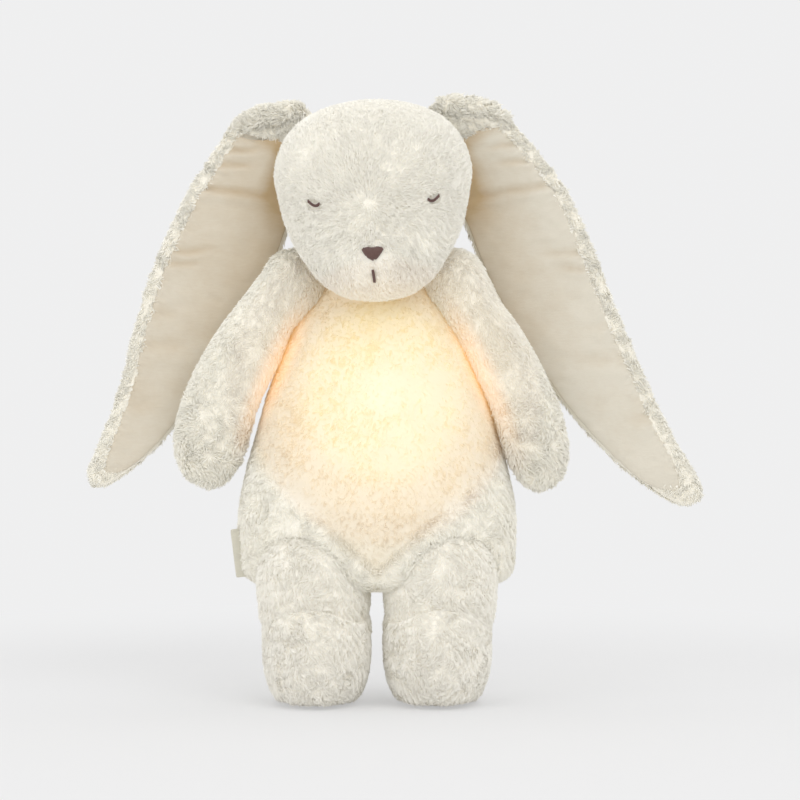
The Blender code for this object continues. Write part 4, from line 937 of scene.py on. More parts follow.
    def build(self) -> None:
        """The torso as one padded piece: its carved skin, short pile on the belly and curls elsewhere."""
        skin = self.form.skin(210, 160, self.relief, self.carve)
        nap = Pile(length=0.0028, width=0.00028, density=1.3e6, lift=0.32, swirl=0.5, clump=0.3, seed=11)
        front = nap.grow(self.form, self.comb, 0.0005, lambda p, n: self.share(p, n) * self.belly(p) * 0.5)
        curls = Pile(length=0.0034, width=0.00027, density=1.9e6, lift=0.38, swirl=1.2, swirl_size=0.007,
                     clump=0.42, seed=15)
        rest = curls.grow(self.form, self.comb, 0.0006,
                          lambda p, n: self.share(p, n) * (1.0 - self.belly(p)))
        patch = skin.joined(front, rest)
        made = patch.made("torso_plush")
        shares = self.belly(patch.points).astype(np.float32)
        made.data.attributes.new("belly", "FLOAT", "POINT").data.foreach_set("value", shares)
        # The belly's glow is the unit's light painted as emission.
        plush = Plush(tip=(0.975, 0.956, 0.888), root=(0.955, 0.918, 0.818), belly=(0.88, 0.80, 0.65),
                      glow=Glow())
        dress(made, plush.material("belly_plush"), "body", "belly_plush", "torso")
        LOG.info("torso: %d corners", len(made.data.vertices))


@dataclass
class Head:
    """The stuffed head with its muzzle, and the embroidered face on it."""

    neck: Point = (MIDDLE, 0.0, 0.230)
    lean: float = math.radians(2.4)
    tilt: float = math.radians(6.0)
    chin_drop: float = 0.0155
    height: float = 0.1055
    half_width: float = 0.052
    half_depth: float = 0.0475
    table: tuple[Row, ...] = (
        (0.000, 0.000, -0.830, 0.000), (0.024, 0.308, -0.830, 0.215), (0.071, 0.481, -0.837, 0.315),
        (0.128, 0.606, -0.821, 0.400), (0.204, 0.712, -0.758, 0.505), (0.299, 0.828, -0.558, 0.705),
        (0.393, 0.905, -0.385, 0.875), (0.507, 0.962, -0.237, 0.985), (0.630, 1.000, -0.158, 1.015),
        (0.735, 0.962, -0.126, 0.960), (0.829, 0.865, -0.105, 0.830), (0.915, 0.683, -0.095, 0.625),
        (0.976, 0.385, -0.095, 0.345), (1.000, 0.000, -0.095, 0.000),
    )
    muzzle_rise: float = 0.006
    muzzle_height: float = 0.010
    muzzle_half_width: float = 0.023
    muzzle_half_height: float = 0.017
    parting: Point = (-0.002, -0.048, 0.036)
    face_shift: float = -0.0015
    nose_height: float = 0.0097
    nose_half_width: float = 0.0053
    nose_half_height: float = 0.0037
    eye_out: float = 0.031
    eye_height: float = 0.0365
    eye_half_width: float = 0.0029
    mouth_height: float = -0.0024
    mouth_half_height: float = 0.0034

    def __post_init__(self) -> None:
        """Lay out the head's form, in its own frame and placed on the neck."""
        rows = [(0.0, h * self.height - self.chin_drop, w * self.half_width, m * self.half_depth,
                 d * self.half_depth)
                for h, w, m, d in self.table]
        self.form = Form(rows, shape=self.muzzle, place=self.seat)
        u, v = np.meshgrid(np.linspace(0.62, 0.88, 150), np.linspace(0.06, 0.75, 260))
        places = self.unseat(self.form.point(u.ravel(), v.ravel()))
        self.samples = (places, turn_y(self.form.normal(u.ravel(), v.ravel()), self.lean))

    def seat(self, points: Array) -> Array:
        """From the head's frame to the row frame: turned by the lean and moved to the neck."""
        return turn_y(points, -self.lean) + np.array(self.neck)

    def unseat(self, points: Array) -> Array:
        """From the row frame to the head's frame."""
        return turn_y(points - np.array(self.neck), self.lean)

    def muzzle(self, points: Array) -> Array:
        """The front pushed forward round the nose by a bell in X and Z."""
        out = points.copy()
        far = (points[:, 0] / self.muzzle_half_width) ** 2
        far += ((points[:, 2] - self.muzzle_height) / self.muzzle_half_height) ** 2
        out[:, 1] -= self.muzzle_rise * np.exp(-far) * np.clip(-points[:, 1] / self.half_depth, 0.0, 1.0)
        return out

    def to_shoulders(self, points: Array) -> Array:
        """Least distance to the arms' upper ends, with the head upright and at both tilts."""
        least = np.full(len(points), 1.0)
        for tilt in (-self.tilt, 0.0, self.tilt):
            moved = turn_y(points - np.array(self.neck), tilt) + np.array(self.neck)
            for side, place in SHOULDERS.items():
                run = np.array([side.value * 0.0090, 0.0, -0.0201])
                away = moved - np.array(place)
                t = np.clip(away @ run / (run @ run), 0.0, 1.0)
                least = np.minimum(least, np.linalg.norm(away - t[:, None] * run, axis=1))
        return least

    def relief(self, points: Array, normals: Array) -> Array:
        """Lumps, less the inset, the eyes' dimples, the dip under the nose and the room for the shoulders."""
        local = self.unseat(points)
        front = (local[:, 1] < 0).astype(float)
        dip = sum(bell(np.hypot(local[:, 0] - s * self.eye_out, local[:, 2] - self.eye_height), 0.0055)
                  for s in (1, -1))
        x, z = local[:, 0], local[:, 2]
        line = bell(x - self.face_shift, 0.0018) * ease(0.006, 0.002, z) * ease(-0.012, -0.004, z)
        room = np.clip(0.0200 - self.to_shoulders(points), 0.0, 0.0035)
        return lumps(points, 21) - INSET - front * (0.0010 * dip + 0.0008 * line) - room

    def comb(self, points: Array) -> Array:
        """Away from the parting between the eyes, up over the parting itself, and down at the back."""
        local = self.unseat(points)
        way = local - np.array(self.parting)
        over = 1.4 * bell(np.linalg.norm(way, axis=1), 0.005)
        way[:, 1] *= 0.4
        way = unit(way)
        way[:, 2] += over
        way[:, 2] -= ease(0.0, 0.03, local[:, 1]) * 1.2
        return way

    def share(self, points: Array, normals: Array) -> Array:
        """Full pile but for the nose, the mouth, the eyes and the neck's socket."""
        local = self.unseat(points)
        x, y, z = local.T
        front = y < 0
        across = (x - self.face_shift) / (self.nose_half_width + 0.0004)
        nose = np.hypot(across, (z - self.nose_height) / (self.nose_half_height + 0.0003)) < 1.0
        mouth = np.abs(z - self.mouth_height) < self.mouth_half_height
        mouth = mouth & (np.abs(x - self.face_shift) < 0.0010)
        eyes = np.hypot((np.abs(x) - self.eye_out) / 0.0042, (z - self.eye_height) / 0.0026) < 1.0
        near = np.hypot((x - self.face_shift) / 0.014, (z - 0.004) / 0.013)
        full = np.where(front & (nose | mouth), 0.0, 1.0)
        full = np.where(front & eyes, 0.25, full)
        full = full * np.where(front, 0.45 + 0.55 * ease(0.5, 1.3, near), 1.0)
        full = full * ease(0.0195, 0.0225, self.to_shoulders(points))
        return np.where(np.linalg.norm(local, axis=1) < 0.0225, 0.0, full)

    def carve(self, points: Array) -> Array:
        """Press in the neck's socket."""
        return push_out(points, self.neck, (0.0225,) * 3, np.array(self.neck) + np.array([0.0, -0.01, 0.06]))

    def on_face(self, x: Array, z: Array, stand: float) -> Array:
        """Points on the front of the face.

        The nearest of a fine set of surface samples in X and Z gives a place and a normal, and
        its tangent plane gives the depth at the point itself.

        Args:
            x: Places across, in the head's frame.
            z: Places up, in the head's frame.
            stand: How far the points stand off the form along the normal.
        """
        places, normals = self.samples
        x, z = np.atleast_1d(x), np.atleast_1d(z)
        near = ((places[None, :, 0] - x[:, None]) ** 2
                + (places[None, :, 2] - z[:, None]) ** 2).argmin(axis=1)
        p, n = places[near], normals[near]
        y = p[:, 1] - (n[:, 0] * (x - p[:, 0]) + n[:, 2] * (z - p[:, 2])) / n[:, 1]
        return self.seat(np.stack([x, y, z], axis=1) + n * stand)

    def strand(self, line: Array, radius: float, rise: float, rings: int = 9) -> Patch:
        """One stitch: a thread over the face along a line in the head's frame, highest in its middle."""
        t = np.linspace(0.0, 1.0, rings)
        knots = np.linspace(0.0, 1.0, len(line))
        x, z = np.interp(t, knots, line[:, 0]), np.interp(t, knots, line[:, 1])
        arch = np.sqrt(np.clip(1.0 - (2.0 * t - 1.0) ** 2, 0.0, 1.0))
        base = self.on_face(x, z, 0.0)
        high = self.on_face(x, z, 1.0)
        path = base + unit(high - base) * (rise * arch - 0.0004)[:, None]
        return tube_patch(path, radius * (0.55 + 0.45 * arch))

    def nose(self) -> Patch:
        """Upright satin stitches that fill a rounded triangle, over a small pad."""
        top = np.array([(-1.0, 0.48), (-0.92, 0.84), (-0.55, 0.92), (0.0, 0.80), (0.55, 0.92), (0.92, 0.84),
                        (1.0, 0.48)])
        low = np.array([(-1.0, 0.48), (-0.78, -0.12), (-0.42, -0.72), (0.0, -1.0), (0.42, -0.72),
                        (0.78, -0.12), (1.0, 0.48)])
        columns = np.linspace(-0.97, 0.97, 23)
        rng = np.random.default_rng(5)
        stitches = []
        for layer, (radius, rise) in enumerate(((0.00042, 0.0008), (0.00036, 0.0015))):
            for c in columns + layer * 0.02:
                jag = rng.uniform(-0.06, 0.06, 2)
                ends = np.array([[c + 0.03 * layer, np.interp(c, *top.T) + jag[0]],
                                 [c, np.interp(c, *low.T) + jag[1]]])
                half = np.array([self.nose_half_width, self.nose_half_height])
                line = ends * half + np.array([self.face_shift, self.nose_height])
                bulge = rise * math.sqrt(max(0.05, 1.0 - c * c))
                stitches.append(self.strand(line, radius, bulge + 0.0004))
        return stitches[0].joined(*stitches[1:])

    def mouth(self) -> Patch:
        """Three strands side by side down from the nose."""
        line = np.array([(-0.10, 1.00), (0.00, 0.40), (0.06, -0.30), (0.10, -1.00)]) * self.mouth_half_height
        line += np.array([self.face_shift, self.mouth_height])
        parts = [self.strand(line + np.array([k * 0.00042, 0.0]), 0.00036, 0.0010 - 0.0003 * abs(k), 14)
                 for k in (-1, 0, 1)]
        return parts[0].joined(*parts[1:])

    def eye(self, side: Side) -> Patch:
        """A closed lid: an arc of short overlapping stitches."""
        table = np.array([(-1.00, -0.06), (-0.74, -0.36), (-0.36, -0.44), (0.12, -0.26), (0.60, 0.12),
                          (1.00, 0.56)])
        t = np.linspace(0.0, 1.0, 8)
        knots = np.linspace(0.0, 1.0, len(table))
        x, z = np.interp(t, knots, table[:, 0]), np.interp(t, knots, table[:, 1])
        arc = np.stack([side.value * (self.eye_out + x * self.eye_half_width),
                        self.eye_height + z * self.eye_half_width], axis=1)
        runs = [np.array([a * 1.15 - b * 0.15, b * 1.15 - a * 0.15]) for a, b in zip(arc[:-1], arc[1:])]
        parts = [self.strand(run + np.array([0.0, k * 0.00036]), 0.00042, 0.0011, 6)
                 for run in runs for k in (-1, 1)]
        return parts[0].joined(*parts[1:])

    def build(self) -> None:
        """The head, nose, mouth and eyes."""
        skin = self.form.skin(190, 140, self.relief, self.carve)
        coat = Pile(length=0.0040, width=0.00028, density=2.3e6, lift=0.32, swirl=0.38, clump=0.35, seed=31)
        fur = coat.grow(self.form, self.comb, INSET, self.share)
        # Painted light: the belly's glow falling on the head, strongest at the chin, with a faint even
        # emission elsewhere.
        glow = Glow(size=(0.060, 0.110, 0.080), level=0.6)
        plush = Plush(tip=(0.972, 0.953, 0.890), root=(0.952, 0.916, 0.820), glow=glow)
        head = dress(skin.joined(fur).made("head_plush"), plush.material("head_plush"), "head_body", "plush",
                     "head")
        thread = Thread().material("face_thread")
        dress(self.nose().made("nose_stitches"), thread, "head_body", "thread", "nose")
        dress(self.mouth().made("mouth_stitches"), thread, "head_body", "thread", "mouth")
        for side in Side:
            dress(self.eye(side).made("eye_stitches_" + side.word), thread, "head_body", "thread",
                  "eye_" + side.word)
        LOG.info("head: %d corners", len(head.data.vertices))


@dataclass(frozen=True)
class Crease:
    """A fold in an ear's lining: a line level with a height, from the outer edge inwards."""

    along: float
    reach: float
    slope: float
    depth: float
    width: float


@dataclass
class Ear:
    """One hanging ear: plush at the back and round the rim, with a velvet lining in front."""

    side: Side
    head: Head
    root: Point = (0.0395, 0.0136, 0.075)
    hang: float = math.radians(58.5)
    half_width: float = 0.0295
    half_depth: float = 0.0042
    outer_rim: float = 0.0075
    inner_rim: float = 0.0020
    lining_start: float = 0.045
    lining_end: float = 0.955
    tables: dict[Side, tuple[float, tuple[Point, ...]]] = field(default_factory=lambda: {
        Side.LEFT: (0.243, (
            (0.000, -0.012, 0.00), (0.012, -0.020, 0.30), (0.032, -0.026, 0.51), (0.064, -0.039, 0.69),
            (0.100, -0.036, 0.78), (0.143, -0.032, 0.85), (0.190, -0.028, 0.92), (0.243, -0.025, 0.97),
            (0.330, -0.010, 1.00), (0.426, 0.006, 0.97), (0.522, 0.019, 0.90), (0.614, 0.028, 0.83),
            (0.710, 0.033, 0.73), (0.819, 0.031, 0.58), (0.905, 0.019, 0.43), (0.962, 0.007, 0.32),
            (0.990, 0.000, 0.18), (1.000, -0.001, 0.00))),
        Side.RIGHT: (0.219, (
            (0.000, -0.016, 0.00), (0.012, -0.027, 0.37), (0.031, -0.042, 0.64), (0.065, -0.047, 0.76),
            (0.102, -0.044, 0.81), (0.146, -0.040, 0.87), (0.193, -0.034, 0.93), (0.247, -0.031, 0.98),
            (0.336, -0.021, 1.02), (0.434, -0.013, 1.01), (0.532, -0.005, 0.94), (0.625, 0.002, 0.83),
            (0.723, 0.008, 0.68), (0.834, 0.006, 0.52), (0.920, -0.006, 0.36), (0.965, -0.014, 0.26),
            (0.990, -0.018, 0.15), (1.000, -0.020, 0.00))),
    })
    creases: tuple[Crease, ...] = (
        Crease(0.121, 0.45, -1.00, 0.0015, 0.0021), Crease(0.163, 0.45, -0.95, 0.0015, 0.0021),
        Crease(0.232, 1.20, -0.80, 0.0019, 0.0027), Crease(0.396, 0.50, -0.90, 0.0013, 0.0022),
        Crease(0.432, 0.38, -1.00, 0.0012, 0.0020), Crease(0.560, 0.40, -0.70, 0.0007, 0.0030),
        Crease(0.640, 0.75, -0.90, 0.0009, 0.0045), Crease(0.780, 0.60, -0.60, 0.0007, 0.0040),
    )

    def __post_init__(self) -> None:
        """Lay out the ear's outline, and its forms for the plush and the lining."""
        self.length, table = self.tables[self.side]
        self.table = np.array(table)
        self.bed = np.zeros((2, 3))
        self.form = Form(self.laid(0.0, 0.0, self.half_depth, 0.0, 1.0), 2.9, shape=self.hollow,
                         place=self.seat)
        self.sheet = Form(self.laid(self.outer_rim - 0.001, self.inner_rim, 0.0019, self.lining_start,
                                    self.lining_end), 3.4, place=self.seat)

    def laid(self, outer: float, inner: float, deep: float, start: float, end: float) -> Array:
        """Rows in the root's frame, inset from the ear's outer and inner edges.

        Along the ear the spine runs at the hanging angle and bows towards the head by its share,
        and an inset on the outer edge moves it towards the bow by half of the inset.

        Args:
            outer: Inset of the outer edge.
            inner: Inset of the inner edge.
            deep: Half depth.
            start: Share of the length where the rows start.
            end: Share of the length where they end.
        """
        whole = self.table
        kept = whole[(whole[:, 0] > start) & (whole[:, 0] < end)]
        along = np.concatenate([[start], kept[:, 0], [end]])
        bow = np.interp(along, whole[:, 0], whole[:, 1]) * self.length
        along = along * self.length
        half = np.concatenate([[0.0], kept[:, 2] * self.half_width, [0.0]])
        narrow = np.maximum(half - (outer + inner) / 2, half * 0.25)
        taper = (half - narrow) / max((outer + inner) / 2, 0.0003)
        bow = bow + (outer - inner) / 2 * taper
        down = np.array([math.cos(self.hang), -math.sin(self.hang)])
        inward = np.array([-math.sin(self.hang), -math.cos(self.hang)])
        spine = along[:, None] * down + bow[:, None] * inward
        depth = np.where(narrow > 0.0, deep, 0.0)
        self.bed = np.column_stack([along / self.length, (inner - outer) / 2 * taper, narrow])
        return np.column_stack([self.side.value * spine[:, 0], spine[:, 1], narrow, np.zeros(len(along)),
                                depth])

    def seat(self, points: Array) -> Array:
        """From the root's frame to the row frame."""
        sign = self.side.value
        return self.head.seat(points + np.array([sign * self.root[0], self.root[1], self.root[2]]))

    def ways(self, points: Array) -> tuple[Array, Array, Array]:
        """Each point's share along the ear, distance outwards from the spine, and half width there."""
        x, z = points[:, 0] * self.side.value, points[:, 2]
        along = (x * math.cos(self.hang) - z * math.sin(self.hang)) / self.length
        across = x * math.sin(self.hang) + z * math.cos(self.hang)
        spine = -np.interp(along, self.table[:, 0], self.table[:, 1]) * self.length
        half = np.interp(along, self.table[:, 0], self.table[:, 2]) * self.half_width
        return along, across - spine, half

    def local(self, points: Array) -> Array:
        """From the row frame to the root's frame."""
        sign = self.side.value
        return self.head.unseat(points) - np.array([sign * self.root[0], self.root[1], self.root[2]])

    def lined(self, along: Array, out: Array) -> Array:
        """One where the lining covers the front, falling to nought at its edges."""
        middle = np.interp(along, self.bed[:, 0], self.bed[:, 1])
        narrow = np.interp(along, self.bed[:, 0], self.bed[:, 2])
        inside = (along > self.lining_start) & (along < self.lining_end)
        return ease(0.0, 0.0016, narrow - np.abs(out - middle)) * inside

    def hollow(self, points: Array) -> Array:
        """The plush layer's front sinks under the lining and swells along the outer rim and the root."""
        out_points = points.copy()
        along, out, half = self.ways(points)
        front = points[:, 1] < 0
        bed = self.lined(along, out)
        rim = bell(half - out - self.outer_rim * 0.55, 0.0040) * ease(0.02, 0.08, along)
        fold = ease(0.13, 0.03, along) * ease(0.55, 0.95, out / np.maximum(half, 1e-4))
        depth = points[:, 1] * (1.0 - 0.55 * bed + 0.25 * rim + 0.5 * fold)
        out_points[:, 1] = np.where(front, depth, points[:, 1] * (1.0 + 0.5 * fold))
        return out_points

    def knob(self) -> list[Patch]:
        """The ear's round root with its pile: half circles of a sphere, flattened along Y."""
        steps = np.linspace(0.0, math.pi, 11)
        radius, deep = 0.0128, 0.0082
        form = Form([(0.0, -radius * math.cos(a), radius * math.sin(a), 0.0, deep * math.sin(a))
                     for a in steps], place=self.seat)
        coat = Pile(length=0.0030, width=0.00030, density=1.6e6, lift=0.45, swirl=1.2, clump=0.4, seed=57)
        skin = form.skin(40, 30, lambda p, n: 0.0003 * noise(p, 0.004, 81) - INSET)
        return [skin, coat.grow(form, brushed(self.side.value, 0.0, -0.5), INSET, even)]

    def roll(self) -> list[Patch]:
        """The ear's upper edge rolled over its root: a thin stuffed roll with curls."""
        sign = self.side.value
        line = ((0.0345, 0.0015, 0.0), (0.0325, 0.0028, 0.0028), (0.0260, 0.0062, 0.0047),
                (0.0160, 0.0088, 0.0056), (0.0060, 0.0100, 0.0062), (-0.0010, 0.0100, 0.0056),
                (-0.0045, 0.0098, 0.0030), (-0.0055, 0.0097, 0.0))
        form = Form([(sign * x, z, r, -0.0028, r * 0.95) for x, z, r in line], place=self.seat)
        curls = Pile(length=0.0036, width=0.00030, density=1.9e6, lift=0.50, swirl=1.6, swirl_size=0.005,
                     clump=0.5, seed=59)
        skin = form.skin(44, 60, lambda p, n: 0.0004 * noise(p, 0.004, 83) - INSET)
        return [skin, curls.grow(form, brushed(sign, 0.0, -0.2), INSET, even)]

    def inward(self, out: Array, half: Array) -> Array:
        """Shares of the way over the lining, from its outer edge to its inner one."""
        return (half - self.outer_rim - out) / np.maximum(2 * half - self.outer_rim, 1e-4)

    def creased(self, points: Array) -> Iterator[tuple[Crease, Array, Array]]:
        """Each crease with the points' distances along the ear from its line and its strength there."""
        along, out, half = self.ways(self.local(points))
        inward = self.inward(out, half)
        wander = 0.0012 * noise(points, 0.010, 97)
        for crease in self.creases:
            line = (along - crease.along - crease.slope * inward * half / self.length) * self.length
            fade = ease(crease.reach, crease.reach * 0.35, inward) * ease(-0.1, 0.06, inward)
            yield crease, line + wander, fade

    def folds(self, points: Array) -> Array:
        """Height of the lining's creases: each a trough beside a swell, fading along its reach."""
        along, out, half = self.ways(self.local(points))
        height = 0.00045 * noise(points, 0.012, 90) + 0.0003 * noise(points * np.array([1.0, 1.0, 1.8]),
                                                                     0.006, 93)
        for crease, line, fade in self.creased(points):
            swell = 0.75 * bell(line - crease.width * 1.3, crease.width * 1.2)
            height = height + crease.depth * fade * (swell - bell(line, crease.width))
        tuck = np.sin(along * self.length / 0.0042 * 2 * math.pi + 2 * noise(points, 0.01, 99))
        return height + 0.0003 * tuck * bell(self.inward(out, half), 0.10)

    def lining_painted_shade(self, points: Array) -> Array:
        """Painted shade on the lining: more towards the head's side, at the root and below each crease, and a
        little more all over the right ear.
        """
        along, out, half = self.ways(self.local(points))
        inward = self.inward(out, half)
        # Painted shade towards the head's side.
        tone = 0.34 * ease(0.05, 0.95, inward + 0.12 * noise(points, 0.016, 96)) * ease(0.75, 0.35, along)
        # Painted shadow under the roll, on the head's side near the root.
        tone = tone + 1.0 * ease(0.45, 0.80, inward) * ease(0.27, 0.12, along)
        # Painted shadow along the root.
        tone = tone + 0.6 * ease(0.09, 0.05, along)
        # Painted shade in each crease.
        for crease, line, fade in self.creased(points):
            tone = tone + 180.0 * crease.depth * fade * bell(line, crease.width * 1.1)
        # The right ear's lining painted darker all over.
        return np.clip(tone + (0.22 if self.side is Side.RIGHT else 0.0), 0.0, 1.2)

    def relief(self, points: Array, normals: Array) -> Array:
        """Small lumps on the plush, with even tucks across the ear."""
        along = self.ways(self.local(points))[0]
        tuck = np.sin(along * self.length / 0.0052 * 2 * math.pi)
        return 0.0003 * noise(points, 0.004, 80) - 0.0006 + 0.00015 * tuck

    def comb(self, points: Array) -> Array:
        """Along the ear, and outwards over the rim."""
        sign = self.side.value
        down = np.array([sign * math.cos(self.hang), 0.0, -math.sin(self.hang)])
        outward_way = np.array([sign * math.sin(self.hang), 0.0, math.cos(self.hang)])
        local = self.local(points)
        _, out, half = self.ways(local)
        over = ease(0.3, 1.0, out / np.maximum(half, 1e-4)) * (local[:, 1] < 0.0015)
        return down + outward_way * over[:, None] * 0.9

    def rim(self, points: Array) -> Array:
        """One on the ear's outer rim, seen from the front, and nought elsewhere."""
        local = self.local(points)
        _, out, half = self.ways(local)
        return ease(0.45, 0.75, out / np.maximum(half, 1e-4)) * ease(0.0030, 0.0, local[:, 1])

    def share(self, points: Array, normals: Array) -> Array:
        """No pile under the lining or on the ear's thin inner edge in front, full pile elsewhere."""
        local = self.local(points)
        along, out, half = self.ways(local)
        front = local[:, 1] < 0.0004
        inner = out + half < self.inner_rim + 0.0008
        covered = self.lined(along, out) > 0.12
        full = np.where(front & covered, 0.0, 1.0)
        full = np.where(front & inner & (along > self.lining_start), 0.0, full)
        return full

    def build(self) -> None:
        """The plush layer and the lining."""
        word = self.side.word
        skin = self.form.skin(72, 220, self.relief)
        coat = Pile(length=0.0030, width=0.00026, density=1.7e6, lift=0.36, swirl=0.7, clump=0.35,
                    seed=50 + self.side.value)
        fur = coat.grow(self.form, self.comb, 0.0006, lambda p, n: self.share(p, n) * (1.0 - self.rim(p)))
        curly = Pile(length=0.0033, width=0.00028, density=1.9e6, lift=0.44, swirl=1.6, swirl_size=0.005,
                     clump=0.5, seed=53 + self.side.value)
        curls = curly.grow(self.form, self.comb, 0.0008, lambda p, n: self.share(p, n) * self.rim(p))
        name, body = "ear_plush_" + word, f"ear_{word}_body"
        made = skin.joined(fur, curls, *self.knob(), *self.roll()).made(name)
        dress(made, Plush().material(name), body, "plush", "ear_" + word)
        cloth = self.sheet.skin(96, 240, lambda p, n: np.where(n[:, 1] < 0, self.folds(p) + 0.0002, 0.0))
        cloth.points[:, 1] -= 0.0031
        # The lining's shade values are painted shade.
        cloth.tone = self.lining_painted_shade(cloth.points)
        velvet = Velvet().material("velvet_" + word)
        lining = dress(cloth.made("ear_velvet_" + word), velvet, body, "velvet", f"ear_{word}_lining")
        along = np.linspace(self.lining_start, self.lining_end, 200)
        wide = np.interp(along, self.table[:, 0], self.table[:, 2]) * 2 * self.half_width - self.outer_rim
        LOG.info("ear %s: %d corners", word, len(made.data.vertices))


@dataclass
class Arm:
    """One stuffed arm that hangs from its round shoulder, curly at the hand."""

    side: Side
    lengths: dict[Side, float] = field(default_factory=lambda: {Side.LEFT: 0.120, Side.RIGHT: 0.1185})
    hangs: dict[Side, float] = field(default_factory=lambda: {Side.LEFT: math.radians(66.1),
                                                              Side.RIGHT: math.radians(66.0)})
    bows: dict[Side, float] = field(default_factory=lambda: {Side.LEFT: 0.0073, Side.RIGHT: 0.0098})
    half_widths: dict[Side, float] = field(default_factory=lambda: {Side.LEFT: 0.0164, Side.RIGHT: 0.0188})
    half_depth: float = 0.0138
    shoulder_radius: float = 0.0165
    upper: dict[Side, tuple[Row, ...]] = field(default_factory=lambda: {
        Side.LEFT: ((0.000, 0.00, 1.00, 1.196), (0.060, 0.12, 0.96, 1.14), (0.184, 0.38, 0.90, 1.03),
                    (0.343, 0.78, 0.96, 1.00)),
        Side.RIGHT: ((0.000, 0.00, 0.87, 1.196), (0.060, 0.17, 0.83, 1.14), (0.184, 0.58, 0.80, 1.03),
                     (0.343, 0.80, 0.93, 1.00)),
    })
    lower: tuple[Row, ...] = (
        (0.566, 1.00, 0.99, 1.00), (0.751, 0.77, 1.00, 1.00), (0.870, 0.40, 0.90, 0.92),
        (0.955, 0.12, 0.62, 0.64), (0.990, 0.02, 0.30, 0.32), (1.000, 0.00, 0.00, 0.00),
    )

    def __post_init__(self) -> None:
        """Lay out the arm's rows along its bowed spine, with half a ball above the shoulder."""
        sign, angle = self.side.value, self.hangs[self.side]
        down = np.array([math.cos(angle), -math.sin(angle)])
        outward_way = np.array([math.sin(angle), math.cos(angle)])
        length, wide = self.lengths[self.side], self.half_widths[self.side]
        ball = np.radians([90.0, 72.0, 50.0, 26.0])
        top = np.column_stack([-np.sin(ball) * self.shoulder_radius / length, np.zeros(4),
                               np.cos(ball) * self.shoulder_radius / wide,
                               np.cos(ball) * self.shoulder_radius / self.half_depth])
        table = np.vstack([top, self.upper[self.side], self.lower])
        spine = table[:, 0:1] * length * down + table[:, 1:2] * self.bows[self.side] * outward_way
        rows = np.column_stack([sign * spine[:, 0], spine[:, 1], table[:, 2] * wide, np.zeros(len(table)),
                                table[:, 3] * self.half_depth])
        self.place = np.array(SHOULDERS[self.side])
        self.down = np.array([sign * down[0], 0.0, down[1]])
        self.form = Form(rows, place=lambda points: points + self.place)

    def relief(self, points: Array, normals: Array) -> Array:
        """Lumps of the stuffing."""
        return lumps(points, 60)

    def build(self) -> None:
        """The arm as one padded piece, its curls growing towards the hand."""
        word = self.side.word
        skin = self.form.skin(96, 120, self.relief)
        upper = Pile(length=0.0034, width=0.00028, density=1.7e6, lift=0.34, swirl=0.6, clump=0.3, seed=61)
        fur = upper.grow(self.form, brushed(*self.down), 0.0,
                         lambda p, n: 1.0 - 0.85 * ease(0.040, 0.110, (p - self.place) @ self.down))
        curls = Pile(length=0.0038, width=0.00032, density=1.5e6, lift=0.46, swirl=1.8, swirl_size=0.0048,
                     clump=0.45, clump_size=0.0036, seed=66)
        hand = curls.grow(self.form, brushed(*self.down * 0.6), 0.0,
                          lambda p, n: ease(0.030, 0.105, (p - self.place) @ self.down))
        made = skin.joined(fur, hand).made("arm_plush_" + word)
        # Painted light: the belly's glow falling on the arm, orange in the crevice by the belly, with a faint
        # even emission elsewhere.
        plush = Plush(glow=Glow(size=(0.088, 0.110, 0.092), level=0.40)).material("arm_plush_" + word)
        dress(made, plush, f"arm_{word}_body", "plush", "arm_" + word)
        LOG.info("arm %s: %d corners", word, len(made.data.vertices))


